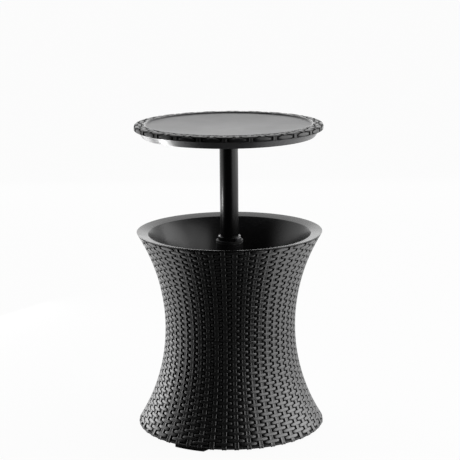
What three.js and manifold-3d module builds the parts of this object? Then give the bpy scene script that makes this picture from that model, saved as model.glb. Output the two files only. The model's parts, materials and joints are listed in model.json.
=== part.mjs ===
import * as THREE from 'three';
import { mergeVertices } from 'three/addons/utils/BufferGeometryUtils.js';
import Module from 'manifold-3d';

const wasm = await Module();
wasm.setup();

// A round patio table whose top rises on a post to open the ice tub in its flared body.
// Lengths are in millimetres and angles in degrees. The origin is on the floor under the post,
// +Z is up and the front faces -Y. The top is modelled raised.

// Whole object
const openHeight = 816;
const rimHeight = 530.4;
const tableRadius = 247.5;

// Clearances
const seat = 0.3;
const slip = 0.3;
const screwSlip = 0.3;
const overrun = 5;

// Body shells
const waistHeight = 272;
const waistRadius = 174.1;
const flareRadius = 500;
const shellWall = 4;
const spigotHeight = 12;
const spigotDepth = 14;
const spigotWall = 3;
const snapWidth = 18;
const snapHeight = 5;
const snapDepth = 1.4;
const snapCount = 6;

// The weave's upright stakes, which are moulded on the shells, and the plain hems above and below
const stakeWidth = 11.3;
const stakeRise = 2.2;
const stakeDraft = 1;
const stakeBearing = -86.7;
const stakeCount = 48;
const hemHeight = 2.6;

// Feet and the flange that they screw to
const footHeight = 8;
const footFlangeWidth = 30;
const footFlangeWall = 3;
const footInset = 1;
const footDepth = 27;
const footLength = 83;
const footTaper = 14;
const footBearing = -116.2;
const footCount = 3;
const footScrewSpacing = 46;
const footScrewInset = 20;
const footScrewRecess = 4.6;

// Base plate
const baseWall = 3;
const baseClearance = 2;
const baseVentRadius = 22;
const baseRibHeight = 24;
const baseRibWall = 2.5;
const baseRibCount = 12;
const baseHoopInset = 28;
const socketWall = 4;
const socketHeight = 60;
const columnScrewHeight = 44;
const columnScrewCount = 3;

// Ice tub
const tubWall = 2.5;
const tubClearance = 3;
const tubFillet = 8;
const tubDraft = 1;
const flangeWidth = 30.8;
const flangeDrop = 6.6;
const flangeEdge = 3.3;
const flangeWall = 2.8;
const locatorHeight = 8;
const locatorWall = 2.5;
const chimneyWall = 2.5;
const chimneyDraft = 2.5;
const chimneyFlangeWidth = 12;
const chimneyFlangeWall = 2.5;
const chimneySpigot = 4;

// Post and the column that it slides in
const postRadius = 24.4;
const postWall = 3;
const postHeld = 112;
const columnWall = 3;
const guideWall = 5;
const guideHeight = 45;
const keyHeight = 1;
const keyWidth = 6;
const keyCount = 3;
const snapRingWall = 2.8;
const snapRingHeight = 1.5;
const endCapHeight = 3;
const endCapInset = 1.5;
const endCapPlug = 14;
const bushingFlange = 3;
const fingerWall = 1.9;
const fingerSlit = 1.6;
const fingerCount = 6;
const sealHeight = 2.4;

// Lock collar
const collarTop = 515.5;
const collarHeight = 10.2;
const collarWall = 3.1;
const collarLip = 2;
const collarChamfer = 1;
const earWidth = 20;
const earReach = 7;
const earHeight = 9;
const earRound = 4;
const earBearing = -45;

// Table
const tableThickness = 33;
const tableWall = 3.2;
const bandHeight = 14.3;
const bandRound = 4.5;
const rimWidth = 28.5;
const discRecess = 3.6;
const skirtRadius = 226;
const shoulderRadius = 238;
const shoulderDrop = 1.5;
const dishWall = 3;
const dishRecess = 3.5;
const dishEdge = 5;
const lipHeight = 6;
const tableRibCount = 8;
const tableRibWall = 2.5;
const tableRibDepth = 8;
const tableRibEnd = 12;
const bossRadius = 6;

// Post head
const headRadius = 60;
const headWall = 4;
const headSocketWall = 4.5;
const headCapWall = 2.4;
const headVentRadius = 4;
const headAir = 1.7;
const headPinRadius = 2.5;
const headPinDrop = 9;
const headScrewRadius = 46;
const headScrewCount = 4;

// Screws
const screwHeadRadius = 4.5;
const screwHeadHeight = 2.4;
const screwRadius = 2.2;
const screwTip = 3;
const screwBite = 12;

// Drain
const drainClearance = 2;
const drainBore = 6.5;
const drainWall = 3.5;
const drainFlangeRadius = 14;
const drainFlangeWall = 2;
const gasketWall = 2;
const padRadius = 17;
const padInset = 1.4;
const nutSeatRadius = 19.5;
const nutRadius = 15;
const nutHeight = 5;
const nutSides = 6;
const drainEnd = 5.5;
const plugHeadRadius = 11;
const plugHeadHeight = 3.6;
const plugDepth = 8;
const tabWidth = 14;
const tabHeight = 12;
const tabThickness = 3.2;

// Sides of the round shapes
const roundSides = 48;
const tubeSides = 24;
const smallSides = 12;
const screwSides = 8;
const flareSteps = 5;
const tubSteps = 3;
const filletSteps = 2;
const footSteps = 4;

// Heights worked out from the sizes above
const shellTop = rimHeight - flangeEdge - seat;
const footTop = footHeight - seat;
const footFlangeTop = footHeight + footFlangeWall;
const baseBottom = footFlangeTop + seat;
const baseTop = baseBottom + baseWall;
const columnBottom = baseTop + seat;
const collarBottom = collarTop - collarHeight;
const bushingTop = collarBottom - seat;
const bushingSeat = bushingTop - bushingFlange;
const columnTop = bushingSeat - seat;
const chimneyTop = columnTop - sealHeight - seat;
const postBottom = collarTop - postHeld;
const guideTop = postBottom + guideHeight;
const snapRingTop = guideTop + seat + snapRingHeight;
const tableBottom = openHeight - tableThickness;
const discTop = openHeight - discRecess;
const discUnder = discTop - tableWall;
const dishBottom = tableBottom + dishRecess;
const dishTop = dishBottom + dishWall;
const headBottom = dishTop + seat;
const headTop = discUnder - headAir;
const postTop = headTop - headCapWall - seat;
const bandBottom = openHeight - bandHeight;
const spigotFoot = waistHeight - spigotDepth;
const drainHeight = spigotFoot - spigotWall - drainClearance - drainFlangeRadius;
const tubFloor = drainHeight - padRadius - tubFillet;

// Radii worked out from the sizes above
const boreRadius = postRadius + slip;
const guideRadius = boreRadius + guideWall;
const columnBore = guideRadius + slip;
const columnRadius = columnBore + columnWall;
const chimneyBore = columnRadius + slip;
const chimneyRadius = chimneyBore + chimneyWall;
const fingerRadius = boreRadius + fingerWall;
const collarBore = fingerRadius + slip;
const collarRadius = collarBore + collarWall;
const spigotRadius = waistRadius - shellWall - slip;
const tubWaist = spigotRadius - spigotWall - tubClearance - tubWall;
const rimRadius = shellRadius(rimHeight);
const mouthRadius = rimRadius - flangeWidth;
const mouthHeight = rimHeight - flangeDrop;
const screwHole = screwRadius + screwSlip;
const headSocketRadius = boreRadius + headSocketWall;
const drainRadius = drainBore + drainWall;
const drainHole = drainRadius + slip;
const padFace = tubWaist - padInset;

// Finishes
const finish = {
  woven: new THREE.MeshStandardMaterial({ color: 0x2b2b2d, roughness: 0.5, metalness: 0 }),
  disc: new THREE.MeshStandardMaterial({ color: 0x3c3c3f, roughness: 0.6, metalness: 0 }),
  smooth: new THREE.MeshStandardMaterial({ color: 0x4a4a4d, roughness: 0.4, metalness: 0 }),
  tub: new THREE.MeshStandardMaterial({ color: 0x232325, roughness: 0.4, metalness: 0 }),
  post: new THREE.MeshStandardMaterial({ color: 0x161617, roughness: 0.35, metalness: 0 }),
  hidden: new THREE.MeshStandardMaterial({ color: 0x1b1b1c, roughness: 0.6, metalness: 0 }),
  rubber: new THREE.MeshStandardMaterial({ color: 0x101010, roughness: 0.8, metalness: 0 }),
  steel: new THREE.MeshStandardMaterial({ color: 0x9a9a9c, roughness: 0.3, metalness: 1 }),
};

// Solids

function toManifold(geometry) {
  const bare = geometry.clone();
  bare.deleteAttribute('normal');
  bare.deleteAttribute('uv');
  const merged = mergeVertices(bare);
  const corners = merged.index.array;
  const faces = [];
  for (let i = 0; i < corners.length; i += 3) {
    const face = corners.slice(i, i + 3);
    if (new Set(face).size === face.length) faces.push(...face);
  }
  return new wasm.Manifold(new wasm.Mesh({
    numProp: 3,
    vertProperties: Float32Array.from(merged.attributes.position.array),
    triVerts: Uint32Array.from(faces),
  }));
}

function toGeometry(manifold) {
  const mesh = manifold.getMesh();
  const geometry = new THREE.BufferGeometry();
  geometry.setAttribute('position', new THREE.BufferAttribute(mesh.vertProperties, mesh.numProp));
  geometry.setIndex(new THREE.BufferAttribute(mesh.triVerts, 1));
  return geometry;
}

function join(first, ...others) {
  return toGeometry(others.reduce((sum, next) => sum.add(toManifold(next)), toManifold(first)));
}

function cut(first, ...others) {
  return toGeometry(others.reduce((rest, next) => rest.subtract(toManifold(next)), toManifold(first)));
}

// Shapes

function revolve(outline, sides = roundSides) {
  const onAxis = outline[0][0] === 0 && outline.at(-1)[0] === 0;
  const loop = onAxis ? outline : [...outline, outline[0]];
  const points = loop.map(([radius, height]) => new THREE.Vector2(radius, height));
  if (THREE.ShapeUtils.area(points) < 0) points.reverse();
  return new THREE.LatheGeometry(points, sides).rotateX(Math.PI / 2);
}

function ring(inner, outer, bottom, top, sides = tubeSides) {
  return revolve([[inner, bottom], [outer, bottom], [outer, top], [inner, top]], sides);
}

function rod(radius, bottom, top, sides = smallSides) {
  return revolve([[0, bottom], [radius, bottom], [radius, top], [0, top]], sides);
}

function block(from, to) {
  const size = to.map((value, axis) => value - from[axis]);
  const middle = to.map((value, axis) => (value + from[axis]) / 2);
  return new THREE.BoxGeometry(...size).translate(...middle);
}

function prism(shape, bottom, top, curveSegments = filletSteps) {
  const depth = top - bottom;
  const solid = new THREE.ExtrudeGeometry(shape, { depth, bevelEnabled: false, curveSegments });
  return solid.translate(0, 0, bottom);
}

function around(count, make) {
  return Array.from({ length: count }, (_, index) => make(index * 360 / count));
}

function turn(geometry, bearing) {
  return geometry.rotateZ(THREE.MathUtils.degToRad(bearing));
}

function place(geometry, radius, bearing) {
  return turn(geometry.translate(radius, 0, 0), bearing);
}

function alongY(geometry) {
  return geometry.rotateX(-Math.PI / 2).translate(0, 0, drainHeight);
}

function screw(length) {
  const shoulder = screwHeadRadius - screwHeadHeight / 2;
  return revolve([
    [0, -screwHeadHeight],
    [shoulder, -screwHeadHeight],
    [screwHeadRadius, -screwHeadHeight / 2],
    [screwHeadRadius, 0],
    [screwRadius, 0],
    [screwRadius, length - screwTip],
    [0, length],
  ], screwSides);
}

// The flared side is an arc whose middle is at the waist.

function shellRadius(height) {
  return waistRadius + arcRise(height - waistHeight);
}

function arcRise(distance) {
  return flareRadius - Math.sqrt(flareRadius ** 2 - distance ** 2);
}

function flare(from, to, inset, steps = flareSteps) {
  return Array.from({ length: steps + 1 }, (_, index) => {
    const height = from + (to - from) * index / steps;
    return [shellRadius(height) - inset, height];
  });
}

// Body

function snapBlock(grow) {
  const height = waistHeight + spigotHeight / 2;
  const side = snapWidth / 2 + grow;
  const half = snapHeight / 2 + grow;
  const outer = spigotRadius + snapDepth + grow;
  return block([spigotRadius - spigotWall / 2, -side, height - half], [outer, side, height + half]);
}

// A solid core whose side is the flare with its hems and stakes. Four columns of corners go up each
// stake: one at each foot and one at each end of its crest. At the hems all of them stand proud.

function stakedCore(bottom, top) {
  const [grooveFoot, grooveTop] = [bottom + hemHeight + stakeDraft, top - hemHeight - stakeDraft];
  const hem = (...heights) => heights.map(height => ({ height, drop: 0 }));
  const grooves = flare(grooveFoot, grooveTop, 0).map(([, height]) => ({ height, drop: stakeRise }));
  const levels = [...hem(bottom, bottom + hemHeight), ...grooves, ...hem(top - hemHeight, top)];
  const foot = stakeWidth / 2;
  const columns = around(stakeCount, bearing => [-foot, stakeDraft - foot, foot - stakeDraft, foot]
    .map(offset => ({ offset, atFoot: Math.abs(offset) === foot, bearing: bearing + stakeBearing }))).flat();
  const corners = levels.flatMap(({ height, drop }) => columns.map(({ offset, atFoot, bearing }) => {
    const radius = shellRadius(height) - (atFoot ? drop : 0);
    const angle = THREE.MathUtils.degToRad(bearing) + offset / radius;
    return [radius * Math.cos(angle), radius * Math.sin(angle), height];
  }));
  return skinned(corners, columns.length, levels.length);
}

// Joins rows of corners into a closed skin, with a fan of faces over each end.

function skinned(corners, across, rows) {
  const last = (rows - 1) * across;
  const middles = [[0, 0, corners[0][2]], [0, 0, corners[last][2]]];
  const faces = Array.from({ length: across }, (_, index) => {
    const next = (index + 1) % across;
    const sides = Array.from({ length: rows - 1 }, (_, row) => {
      const [here, ahead] = [row * across + index, row * across + next];
      return [here, ahead, ahead + across, here, ahead + across, here + across];
    });
    const ends = [next, index, corners.length, last + index, last + next, corners.length + 1];
    return [...sides.flat(), ...ends];
  });
  const geometry = new THREE.BufferGeometry();
  geometry.setAttribute('position', new THREE.Float32BufferAttribute([...corners, ...middles].flat(), 3));
  return geometry.setIndex(faces.flat());
}

function upperShell() {
  const bottom = waistHeight + seat;
  const hollow = revolve([
    [0, bottom - overrun],
    [shellRadius(bottom) - shellWall, bottom - overrun],
    ...flare(bottom, shellTop, shellWall),
    [shellRadius(shellTop) - shellWall, shellTop + overrun],
    [0, shellTop + overrun],
  ]);
  const snaps = around(snapCount, bearing => turn(snapBlock(slip), bearing));
  return cut(stakedCore(bottom, shellTop), hollow, ...snaps);
}

function nutSeat() {
  const reach = nutSeatRadius + overrun;
  const inside = revolve([
    [0, drainHeight - reach],
    ...flare(drainHeight - reach, drainHeight + reach, shellWall - seat),
    [0, drainHeight + reach],
  ]);
  return cut(alongY(rod(nutSeatRadius, spigotRadius - spigotWall, nutFront - seat, tubeSides)), inside);
}

function lowerShell() {
  const hollow = revolve([
    [0, footHeight - overrun],
    [shellRadius(footHeight) - footFlangeWidth, footHeight - overrun],
    [shellRadius(footHeight) - footFlangeWidth, footFlangeTop],
    ...flare(footFlangeTop, spigotFoot - spigotWall, shellWall),
    [spigotRadius - spigotWall, spigotFoot],
    [spigotRadius - spigotWall, waistHeight + overrun],
    [0, waistHeight + overrun],
  ]);
  const spigot = ring(spigotRadius - spigotWall, spigotRadius, waistHeight - spigotWall,
    waistHeight + spigotHeight, roundSides);
  const snaps = around(snapCount, bearing => turn(snapBlock(0), bearing));
  const drain = alongY(rod(drainHole, spigotRadius - spigotWall - overrun, shellBack + overrun));
  const wall = cut(stakedCore(footHeight, waistHeight), hollow);
  const whole = join(wall, spigot, nutSeat(), ...snaps);
  return cut(whole, drain, ...footScrewHoles(footHeight, footFlangeTop));
}

// Feet. Each is an arc under the shell's edge, wider inside than outside.

const footOuter = shellRadius(footHeight) - footInset;
const footInner = footOuter - footDepth;
const footScrewCircle = footOuter - footScrewInset;

function footScrewBearings() {
  const half = THREE.MathUtils.radToDeg(footScrewSpacing / 2 / footScrewCircle);
  return around(footCount, bearing => [footBearing + bearing - half, footBearing + bearing + half]).flat();
}

function footScrewHoles(bottom, top) {
  return footScrewBearings().map(bearing =>
    place(rod(screwHole, bottom - overrun, top + overrun, screwSides), footScrewCircle, bearing));
}

function foot() {
  const outerHalf = footLength / 2 / footOuter;
  const innerHalf = (footLength / 2 + footTaper) / footOuter;
  const outline = new THREE.Shape();
  outline.absarc(0, 0, footOuter, -outerHalf, outerHalf, false);
  outline.absarc(0, 0, footInner, innerHalf, -innerHalf, true);
  const half = THREE.MathUtils.radToDeg(footScrewSpacing / 2 / footScrewCircle);
  const screwRecess = screwHeadRadius + 2 * screwSlip;
  const holes = [-half, half].flatMap(bearing => [
    place(rod(screwHole, -overrun, footHeight + overrun, screwSides), footScrewCircle, bearing),
    place(rod(screwRecess, -overrun, footScrewRecess, smallSides), footScrewCircle, bearing),
  ]);
  return cut(prism(outline, 0, footTop, footSteps), ...holes);
}

// Base plate

function basePlate() {
  const edge = shellRadius(baseTop) - shellWall - baseClearance;
  const socketRadius = columnRadius + slip + socketWall;
  const hoop = edge - baseHoopInset;
  const ribTop = baseTop + baseRibHeight;
  const plate = ring(baseVentRadius, edge, baseBottom, baseTop, roundSides);
  const socket = ring(columnRadius + slip, socketRadius, baseTop - baseWall / 2, baseTop + socketHeight);
  const outerHoop = ring(hoop - baseRibWall, hoop, baseTop - baseWall / 2, ribTop, roundSides);
  const ribs = around(baseRibCount, bearing => turn(block(
    [socketRadius - socketWall / 2, -baseRibWall / 2, baseTop - baseWall / 2],
    [hoop - baseRibWall / 2, baseRibWall / 2, ribTop],
  ), bearing));
  const boss = () => rod(bossRadius, baseTop - baseWall / 2, baseTop + screwBite, smallSides);
  const bosses = footScrewBearings().map(bearing => place(boss(), footScrewCircle, bearing));
  const whole = join(plate, socket, outerHoop, ...ribs, ...bosses);
  return cut(whole, ...footScrewHoles(baseBottom, baseTop + screwBite), ...columnScrewHoles());
}

function radialRod(radius, from, to) {
  return rod(radius, from, to, screwSides).rotateY(Math.PI / 2);
}

function columnScrewBearings() {
  return around(columnScrewCount, bearing => bearing + 180 / baseRibCount);
}

function columnScrewHoles() {
  return columnScrewBearings().map(bearing => turn(
    radialRod(screwHole, columnBore - overrun, columnRadius + socketWall + overrun)
      .translate(0, 0, baseTop + columnScrewHeight), bearing));
}

// Ice tub

const tubBend = mouthHeight - Math.sqrt(flareRadius ** 2 - (tubWaist + flareRadius - mouthRadius) ** 2);

function tubSide(from, to, offset) {
  return Array.from({ length: tubSteps + 1 }, (_, index) => {
    const height = from + (to - from) * index / tubSteps;
    return [tubWaist + arcRise(height - tubBend) + offset, height];
  });
}

function tubCorner(offset) {
  const radius = tubFillet + offset;
  const middle = [tubWaist - tubDraft - tubFillet, tubFloor + tubFillet];
  return Array.from({ length: filletSteps + 1 }, (_, index) => {
    const angle = Math.PI / 2 * index / filletSteps;
    return [middle[0] + radius * Math.sin(angle), middle[1] - radius * Math.cos(angle)];
  });
}

function flangeUnder(radius) {
  return rimHeight - flangeWall - flangeDrop / flangeWidth * (rimRadius - radius);
}

function iceTub() {
  const land = rimHeight - flangeEdge;
  const locatorTop = shellRadius(shellTop) - shellWall - slip;
  const locatorFoot = shellTop - locatorHeight;
  const locatorOuter = shellRadius(locatorFoot) - shellWall - slip;
  const wallTop = flangeUnder(mouthRadius + tubWall);
  const outline = [
    [chimneyRadius + slip, tubFloor],
    ...tubCorner(0),
    ...tubSide(tubBend, mouthHeight, 0),
    [rimRadius, rimHeight],
    [shellRadius(land), land],
    [locatorTop, land],
    [locatorOuter, locatorFoot],
    [locatorOuter - locatorWall, locatorFoot],
    [locatorTop - locatorWall, flangeUnder(locatorTop - locatorWall)],
    ...tubSide(wallTop, tubBend, tubWall),
    ...tubCorner(tubWall).reverse(),
    [chimneyRadius + slip, underFloor],
  ];
  const pad = alongY(rod(padRadius, padFace, tubWaist + tubWall + seat, smallSides));
  const hole = alongY(rod(drainHole, padFace - overrun, tubWaist + tubWall + overrun));
  return cut(join(revolve(outline), pad), hole);
}

// The chimney carries the column up through the tub. Its flange stands on a gasket on the tub's floor.

const underFloor = tubFloor - tubWall;
const chimneyGasketTop = tubFloor + seat + gasketWall;
const chimneyFlangeBottom = chimneyGasketTop + seat;
const chimneyFlangeRadius = chimneyRadius + chimneyDraft + chimneyFlangeWidth;

function tubChimney() {
  const foot = chimneyRadius + chimneyDraft;
  const flangeTop = chimneyFlangeBottom + chimneyFlangeWall;
  return revolve([
    [chimneyBore, chimneyTop],
    [chimneyRadius, chimneyTop],
    [foot, flangeTop],
    [chimneyFlangeRadius, flangeTop],
    [chimneyFlangeRadius, chimneyFlangeBottom],
    [chimneyRadius, chimneyFlangeBottom],
    [chimneyRadius, underFloor - chimneySpigot],
    [chimneyBore, underFloor - chimneySpigot],
  ], tubeSides);
}

function chimneyGasket() {
  return ring(chimneyRadius + slip, chimneyFlangeRadius, tubFloor + seat, chimneyGasketTop);
}

// Post, guide and column

function keyedCircle(shape, radius, height, width) {
  const steps = 8;
  const edge = Math.asin(width / 2 / radius);
  const tip = Math.asin(width / 2 / (radius + height));
  const sector = 2 * Math.PI / keyCount;
  const at = (distance, angle) => [distance * Math.cos(angle), distance * Math.sin(angle)];
  for (let key = 0; key < keyCount; key += 1) {
    const middle = key * sector;
    const start = at(radius + height, middle - tip);
    if (key === 0) shape.moveTo(...start);
    else shape.lineTo(...start);
    shape.lineTo(...at(radius + height, middle + tip));
    for (let step = 0; step <= steps; step += 1) {
      shape.lineTo(...at(radius, middle + edge + (sector - 2 * edge) * step / steps));
    }
  }
  shape.closePath();
  return shape;
}

function circlePath(radius) {
  const path = new THREE.Path();
  path.absarc(0, 0, radius, 0, 2 * Math.PI, false);
  return path;
}

function postGuide() {
  const outline = keyedCircle(new THREE.Shape(), guideRadius, keyHeight, keyWidth);
  outline.holes.push(circlePath(boreRadius));
  return prism(outline, postBottom, guideTop, tubeSides);
}

function columnTube() {
  const outline = new THREE.Shape();
  outline.absarc(0, 0, columnRadius, 0, 2 * Math.PI, false);
  outline.holes.push(keyedCircle(new THREE.Path(), columnBore, keyHeight, keyWidth + 2 * slip));
  return cut(prism(outline, columnBottom, columnTop, tubeSides), ...columnScrewHoles());
}

function headPinHeight() {
  return postTop - headPinDrop;
}

function headPinHole() {
  const reach = headSocketRadius + overrun;
  return radialRod(headPinRadius + screwSlip, -reach, reach).translate(0, 0, headPinHeight());
}

function post() {
  return cut(ring(postRadius - postWall, postRadius, postBottom, postTop), headPinHole());
}

function postHead() {
  const outline = [
    [boreRadius, headBottom],
    [headRadius, headBottom],
    [headRadius, headBottom + headWall],
    [headSocketRadius + headWall, headBottom + headWall],
    [headSocketRadius, headBottom + 2 * headWall],
    [headSocketRadius, headTop],
    [headVentRadius, headTop],
    [headVentRadius, headTop - headCapWall],
    [boreRadius, headTop - headCapWall],
  ];
  return cut(revolve(outline, tubeSides), headPinHole(), ...headScrewHoles());
}

function headPin() {
  return radialRod(headPinRadius, -headSocketRadius, headSocketRadius).translate(0, 0, headPinHeight());
}

function endCap() {
  const top = postBottom - seat;
  const plug = postRadius - postWall - slip;
  return revolve([
    [0, top - endCapHeight],
    [guideRadius - endCapInset, top - endCapHeight],
    [guideRadius - endCapInset, top],
    [plug, top],
    [plug, top + endCapPlug],
    [0, top + endCapPlug],
  ], tubeSides);
}

function snapRing() {
  return ring(boreRadius, boreRadius + snapRingWall, guideTop + seat, snapRingTop);
}

function bushing() {
  const outline = [
    [boreRadius, snapRingTop + seat],
    [guideRadius, snapRingTop + seat],
    [guideRadius, bushingSeat],
    [chimneyRadius, bushingSeat],
    [chimneyRadius, bushingTop],
    [fingerRadius, bushingTop],
    [fingerRadius, collarTop - collarLip - seat],
    [boreRadius, collarTop - collarLip - seat],
  ];
  const slits = around(fingerCount, bearing => turn(
    block([0, -fingerSlit / 2, bushingTop], [chimneyRadius, fingerSlit / 2, collarTop]), bearing));
  return cut(revolve(outline, tubeSides), ...slits);
}

function columnSeal() {
  return ring(chimneyBore, chimneyRadius, chimneyTop + seat, columnTop);
}

// Lock collar

function roundedEar() {
  const side = earWidth / 2;
  const reach = collarRadius + earReach;
  const shape = new THREE.Shape();
  shape.moveTo(0, -side);
  shape.lineTo(reach - earRound, -side);
  shape.absarc(reach - earRound, -side + earRound, earRound, -Math.PI / 2, 0, false);
  shape.absarc(reach - earRound, side - earRound, earRound, 0, Math.PI / 2, false);
  shape.lineTo(0, side);
  return prism(shape, collarBottom, collarBottom + earHeight);
}

function lockCollar() {
  const body = revolve([
    [0, collarBottom],
    [collarRadius, collarBottom],
    [collarRadius, collarTop - collarChamfer],
    [collarRadius - collarChamfer, collarTop],
    [0, collarTop],
  ], tubeSides);
  const bore = ring(0, collarBore, collarBottom - overrun, collarTop - collarLip);
  const mouth = rod(boreRadius, collarBottom, collarTop + overrun, tubeSides);
  return cut(join(body, turn(roundedEar(), earBearing)), bore, mouth);
}

// Table

function headScrewPlaces(make) {
  return around(headScrewCount, bearing => place(make(), headScrewRadius, bearing + 180 / headScrewCount));
}

function headScrewHoles() {
  return headScrewPlaces(() => rod(screwHole, dishBottom - overrun, discUnder, screwSides));
}

function tableTop() {
  const inner = tableRadius - rimWidth;
  const round = bandRound / 2;
  const outline = [
    [0, discTop],
    [inner - round / 2, discTop],
    [inner, openHeight - round / 2],
    [inner + round, openHeight],
    [tableRadius - bandRound, openHeight],
    [tableRadius - round / 2, openHeight - round],
    [tableRadius, openHeight - 2 * round],
    [tableRadius, bandBottom + 2 * round],
    [tableRadius - round / 2, bandBottom],
    [tableRadius - tableWall, bandBottom],
    [tableRadius - tableWall, openHeight - bandRound - tableWall / 2],
    [tableRadius - bandRound - tableWall / 2, openHeight - tableWall],
    [inner + tableWall, openHeight - tableWall],
    [inner - round / 2, discUnder],
    [0, discUnder],
  ];
  const bossBottom = headBottom + headWall + seat;
  const bosses = headScrewPlaces(() => rod(bossRadius, bossBottom, discUnder + tableWall / 2, smallSides));
  const ribs = around(tableRibCount, bearing => turn(block(
    [headRadius + tableRibEnd, -tableRibWall / 2, discUnder - tableRibDepth],
    [inner - tableRibEnd, tableRibWall / 2, discUnder + tableWall / 2],
  ), bearing));
  return cut(join(revolve(outline), ...bosses, ...ribs), ...headScrewHoles());
}

function tableUnderside() {
  const shoulder = bandBottom - shoulderDrop;
  const lipRadius = tableRadius - tableWall - slip;
  const outline = [
    [skirtRadius, tableBottom],
    [shoulderRadius, shoulder],
    [lipRadius, shoulder + dishWall / 4],
    [lipRadius, shoulder + lipHeight],
    [lipRadius - dishWall, shoulder + lipHeight],
    [lipRadius - dishWall, shoulder + dishWall],
    [shoulderRadius - dishWall / 2, shoulder + dishWall],
    [skirtRadius - dishWall / 2, dishTop],
    [boreRadius, dishTop],
    [boreRadius, dishBottom],
    [skirtRadius - dishEdge - dishRecess, dishBottom],
    [skirtRadius - dishEdge, tableBottom],
  ];
  return cut(revolve(outline), ...headScrewHoles());
}

// Drain. Its pieces are turned about +Z and then laid along +Y, out through the back.

const gasketBack = padFace - seat;
const gasketFront = gasketBack - gasketWall;
const spoutFront = gasketFront - seat - drainFlangeWall;
const shellBack = shellRadius(drainHeight);
const nutFront = shellRadius(drainHeight - nutRadius) + seat;
const spoutBack = nutFront + nutHeight + drainEnd;

function drainSpout() {
  return alongY(revolve([
    [drainBore, spoutFront],
    [drainFlangeRadius, spoutFront],
    [drainFlangeRadius, spoutFront + drainFlangeWall],
    [drainRadius, spoutFront + drainFlangeWall],
    [drainRadius, spoutBack],
    [drainBore, spoutBack],
  ], smallSides));
}

function drainGasket() {
  return alongY(ring(drainHole, drainFlangeRadius, gasketFront, gasketBack, smallSides));
}

function drainSpacer() {
  const front = tubWaist + tubWall + 2 * seat;
  const back = Math.sqrt((shellBack - shellWall) ** 2 - drainFlangeRadius ** 2) - 2 * seat;
  return alongY(ring(drainHole, drainFlangeRadius, front, back, smallSides));
}

function drainNut() {
  const hexagon = rod(nutRadius, nutFront, nutFront + nutHeight, nutSides);
  return alongY(cut(hexagon, rod(drainHole, nutFront - overrun, nutFront + nutHeight + overrun)));
}

function drainPlug() {
  const headFront = spoutBack + seat;
  const headBack = headFront + plugHeadHeight;
  const stopper = revolve([
    [0, headFront - plugDepth],
    [drainBore - slip, headFront - plugDepth],
    [drainBore - slip, headFront],
    [plugHeadRadius, headFront],
    [plugHeadRadius, headBack],
    [0, headBack],
  ], smallSides);
  const tab = block(
    [-tabWidth / 2, -tabThickness / 2, headBack - plugHeadHeight / 2],
    [tabWidth / 2, tabThickness / 2, headBack + tabHeight],
  );
  return alongY(join(stopper, tab));
}

// Assembly

function piece(name, geometry, material) {
  const mesh = new THREE.Mesh(toGeometry(toManifold(geometry)), material);
  mesh.name = name;
  return mesh;
}

function tableGroup() {
  const group = new THREE.Group();
  group.add(piece('table_top', tableTop(), finish.disc));
  group.add(piece('table_underside', tableUnderside(), finish.smooth));
  group.add(piece('post_head', postHead(), finish.hidden));
  group.add(piece('head_pin', headPin(), finish.steel));
  group.add(piece('post', post(), finish.post));
  group.add(piece('guide_snap_ring', snapRing(), finish.steel));
  group.add(piece('post_end_cap', endCap(), finish.hidden));
  const length = discUnder - dishBottom - screwTip;
  around(headScrewCount, bearing => bearing + 180 / headScrewCount).forEach((bearing, index) => {
    const mesh = piece(`head_screw_${index + 1}`, screw(length), finish.steel);
    const angle = THREE.MathUtils.degToRad(bearing);
    const reach = new THREE.Vector3(headScrewRadius, 0, 0).applyAxisAngle(new THREE.Vector3(0, 0, 1), angle);
    mesh.position.set(reach.x, reach.y, dishBottom - seat);
    mesh.rotation.z = angle;
    group.add(mesh);
  });
  return group;
}

function columnGroup() {
  const group = new THREE.Group();
  group.add(piece('post_guide', postGuide(), finish.hidden));
  group.add(piece('column_tube', columnTube(), finish.hidden));
  group.add(piece('post_bushing', bushing(), finish.hidden));
  group.add(piece('column_seal', columnSeal(), finish.rubber));
  group.add(piece('lock_collar', lockCollar(), finish.post));
  const seatRadius = columnRadius + slip + socketWall + seat;
  columnScrewBearings().forEach((bearing, index) => {
    const length = seatRadius - columnBore - seat;
    const lying = screw(length).rotateY(-Math.PI / 2).translate(seatRadius, 0, baseTop + columnScrewHeight);
    group.add(piece(`column_screw_${index + 1}`, turn(lying, bearing), finish.steel));
  });
  return group;
}

function bodyGroup() {
  const group = new THREE.Group();
  group.add(piece('upper_shell', upperShell(), finish.woven));
  group.add(piece('lower_shell', lowerShell(), finish.woven));
  group.add(piece('ice_tub', iceTub(), finish.tub));
  group.add(piece('tub_chimney', tubChimney(), finish.tub));
  group.add(piece('chimney_gasket', chimneyGasket(), finish.rubber));
  group.add(piece('base_plate', basePlate(), finish.hidden));
  ['front', 'right', 'rear'].forEach((side, index) => {
    const mesh = piece(`foot_${side}`, foot(), finish.hidden);
    mesh.rotation.z = THREE.MathUtils.degToRad(footBearing + index * 360 / footCount);
    group.add(mesh);
  });
  footScrewBearings().forEach((bearing, index) => {
    const length = baseTop + screwBite - footScrewRecess - screwTip;
    const upright = screw(length).translate(0, 0, footScrewRecess - seat);
    group.add(piece(`foot_screw_${index + 1}`, place(upright, footScrewCircle, bearing), finish.steel));
  });
  return group;
}

function drainGroup() {
  const group = new THREE.Group();
  group.add(piece('drain_spout', drainSpout(), finish.hidden));
  group.add(piece('drain_gasket', drainGasket(), finish.rubber));
  group.add(piece('drain_spacer', drainSpacer(), finish.rubber));
  group.add(piece('drain_nut', drainNut(), finish.hidden));
  group.add(piece('drain_plug', drainPlug(), finish.rubber));
  return group;
}

const table = new THREE.Group();
table.add(bodyGroup(), columnGroup(), tableGroup(), drainGroup());

export default table;
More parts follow.
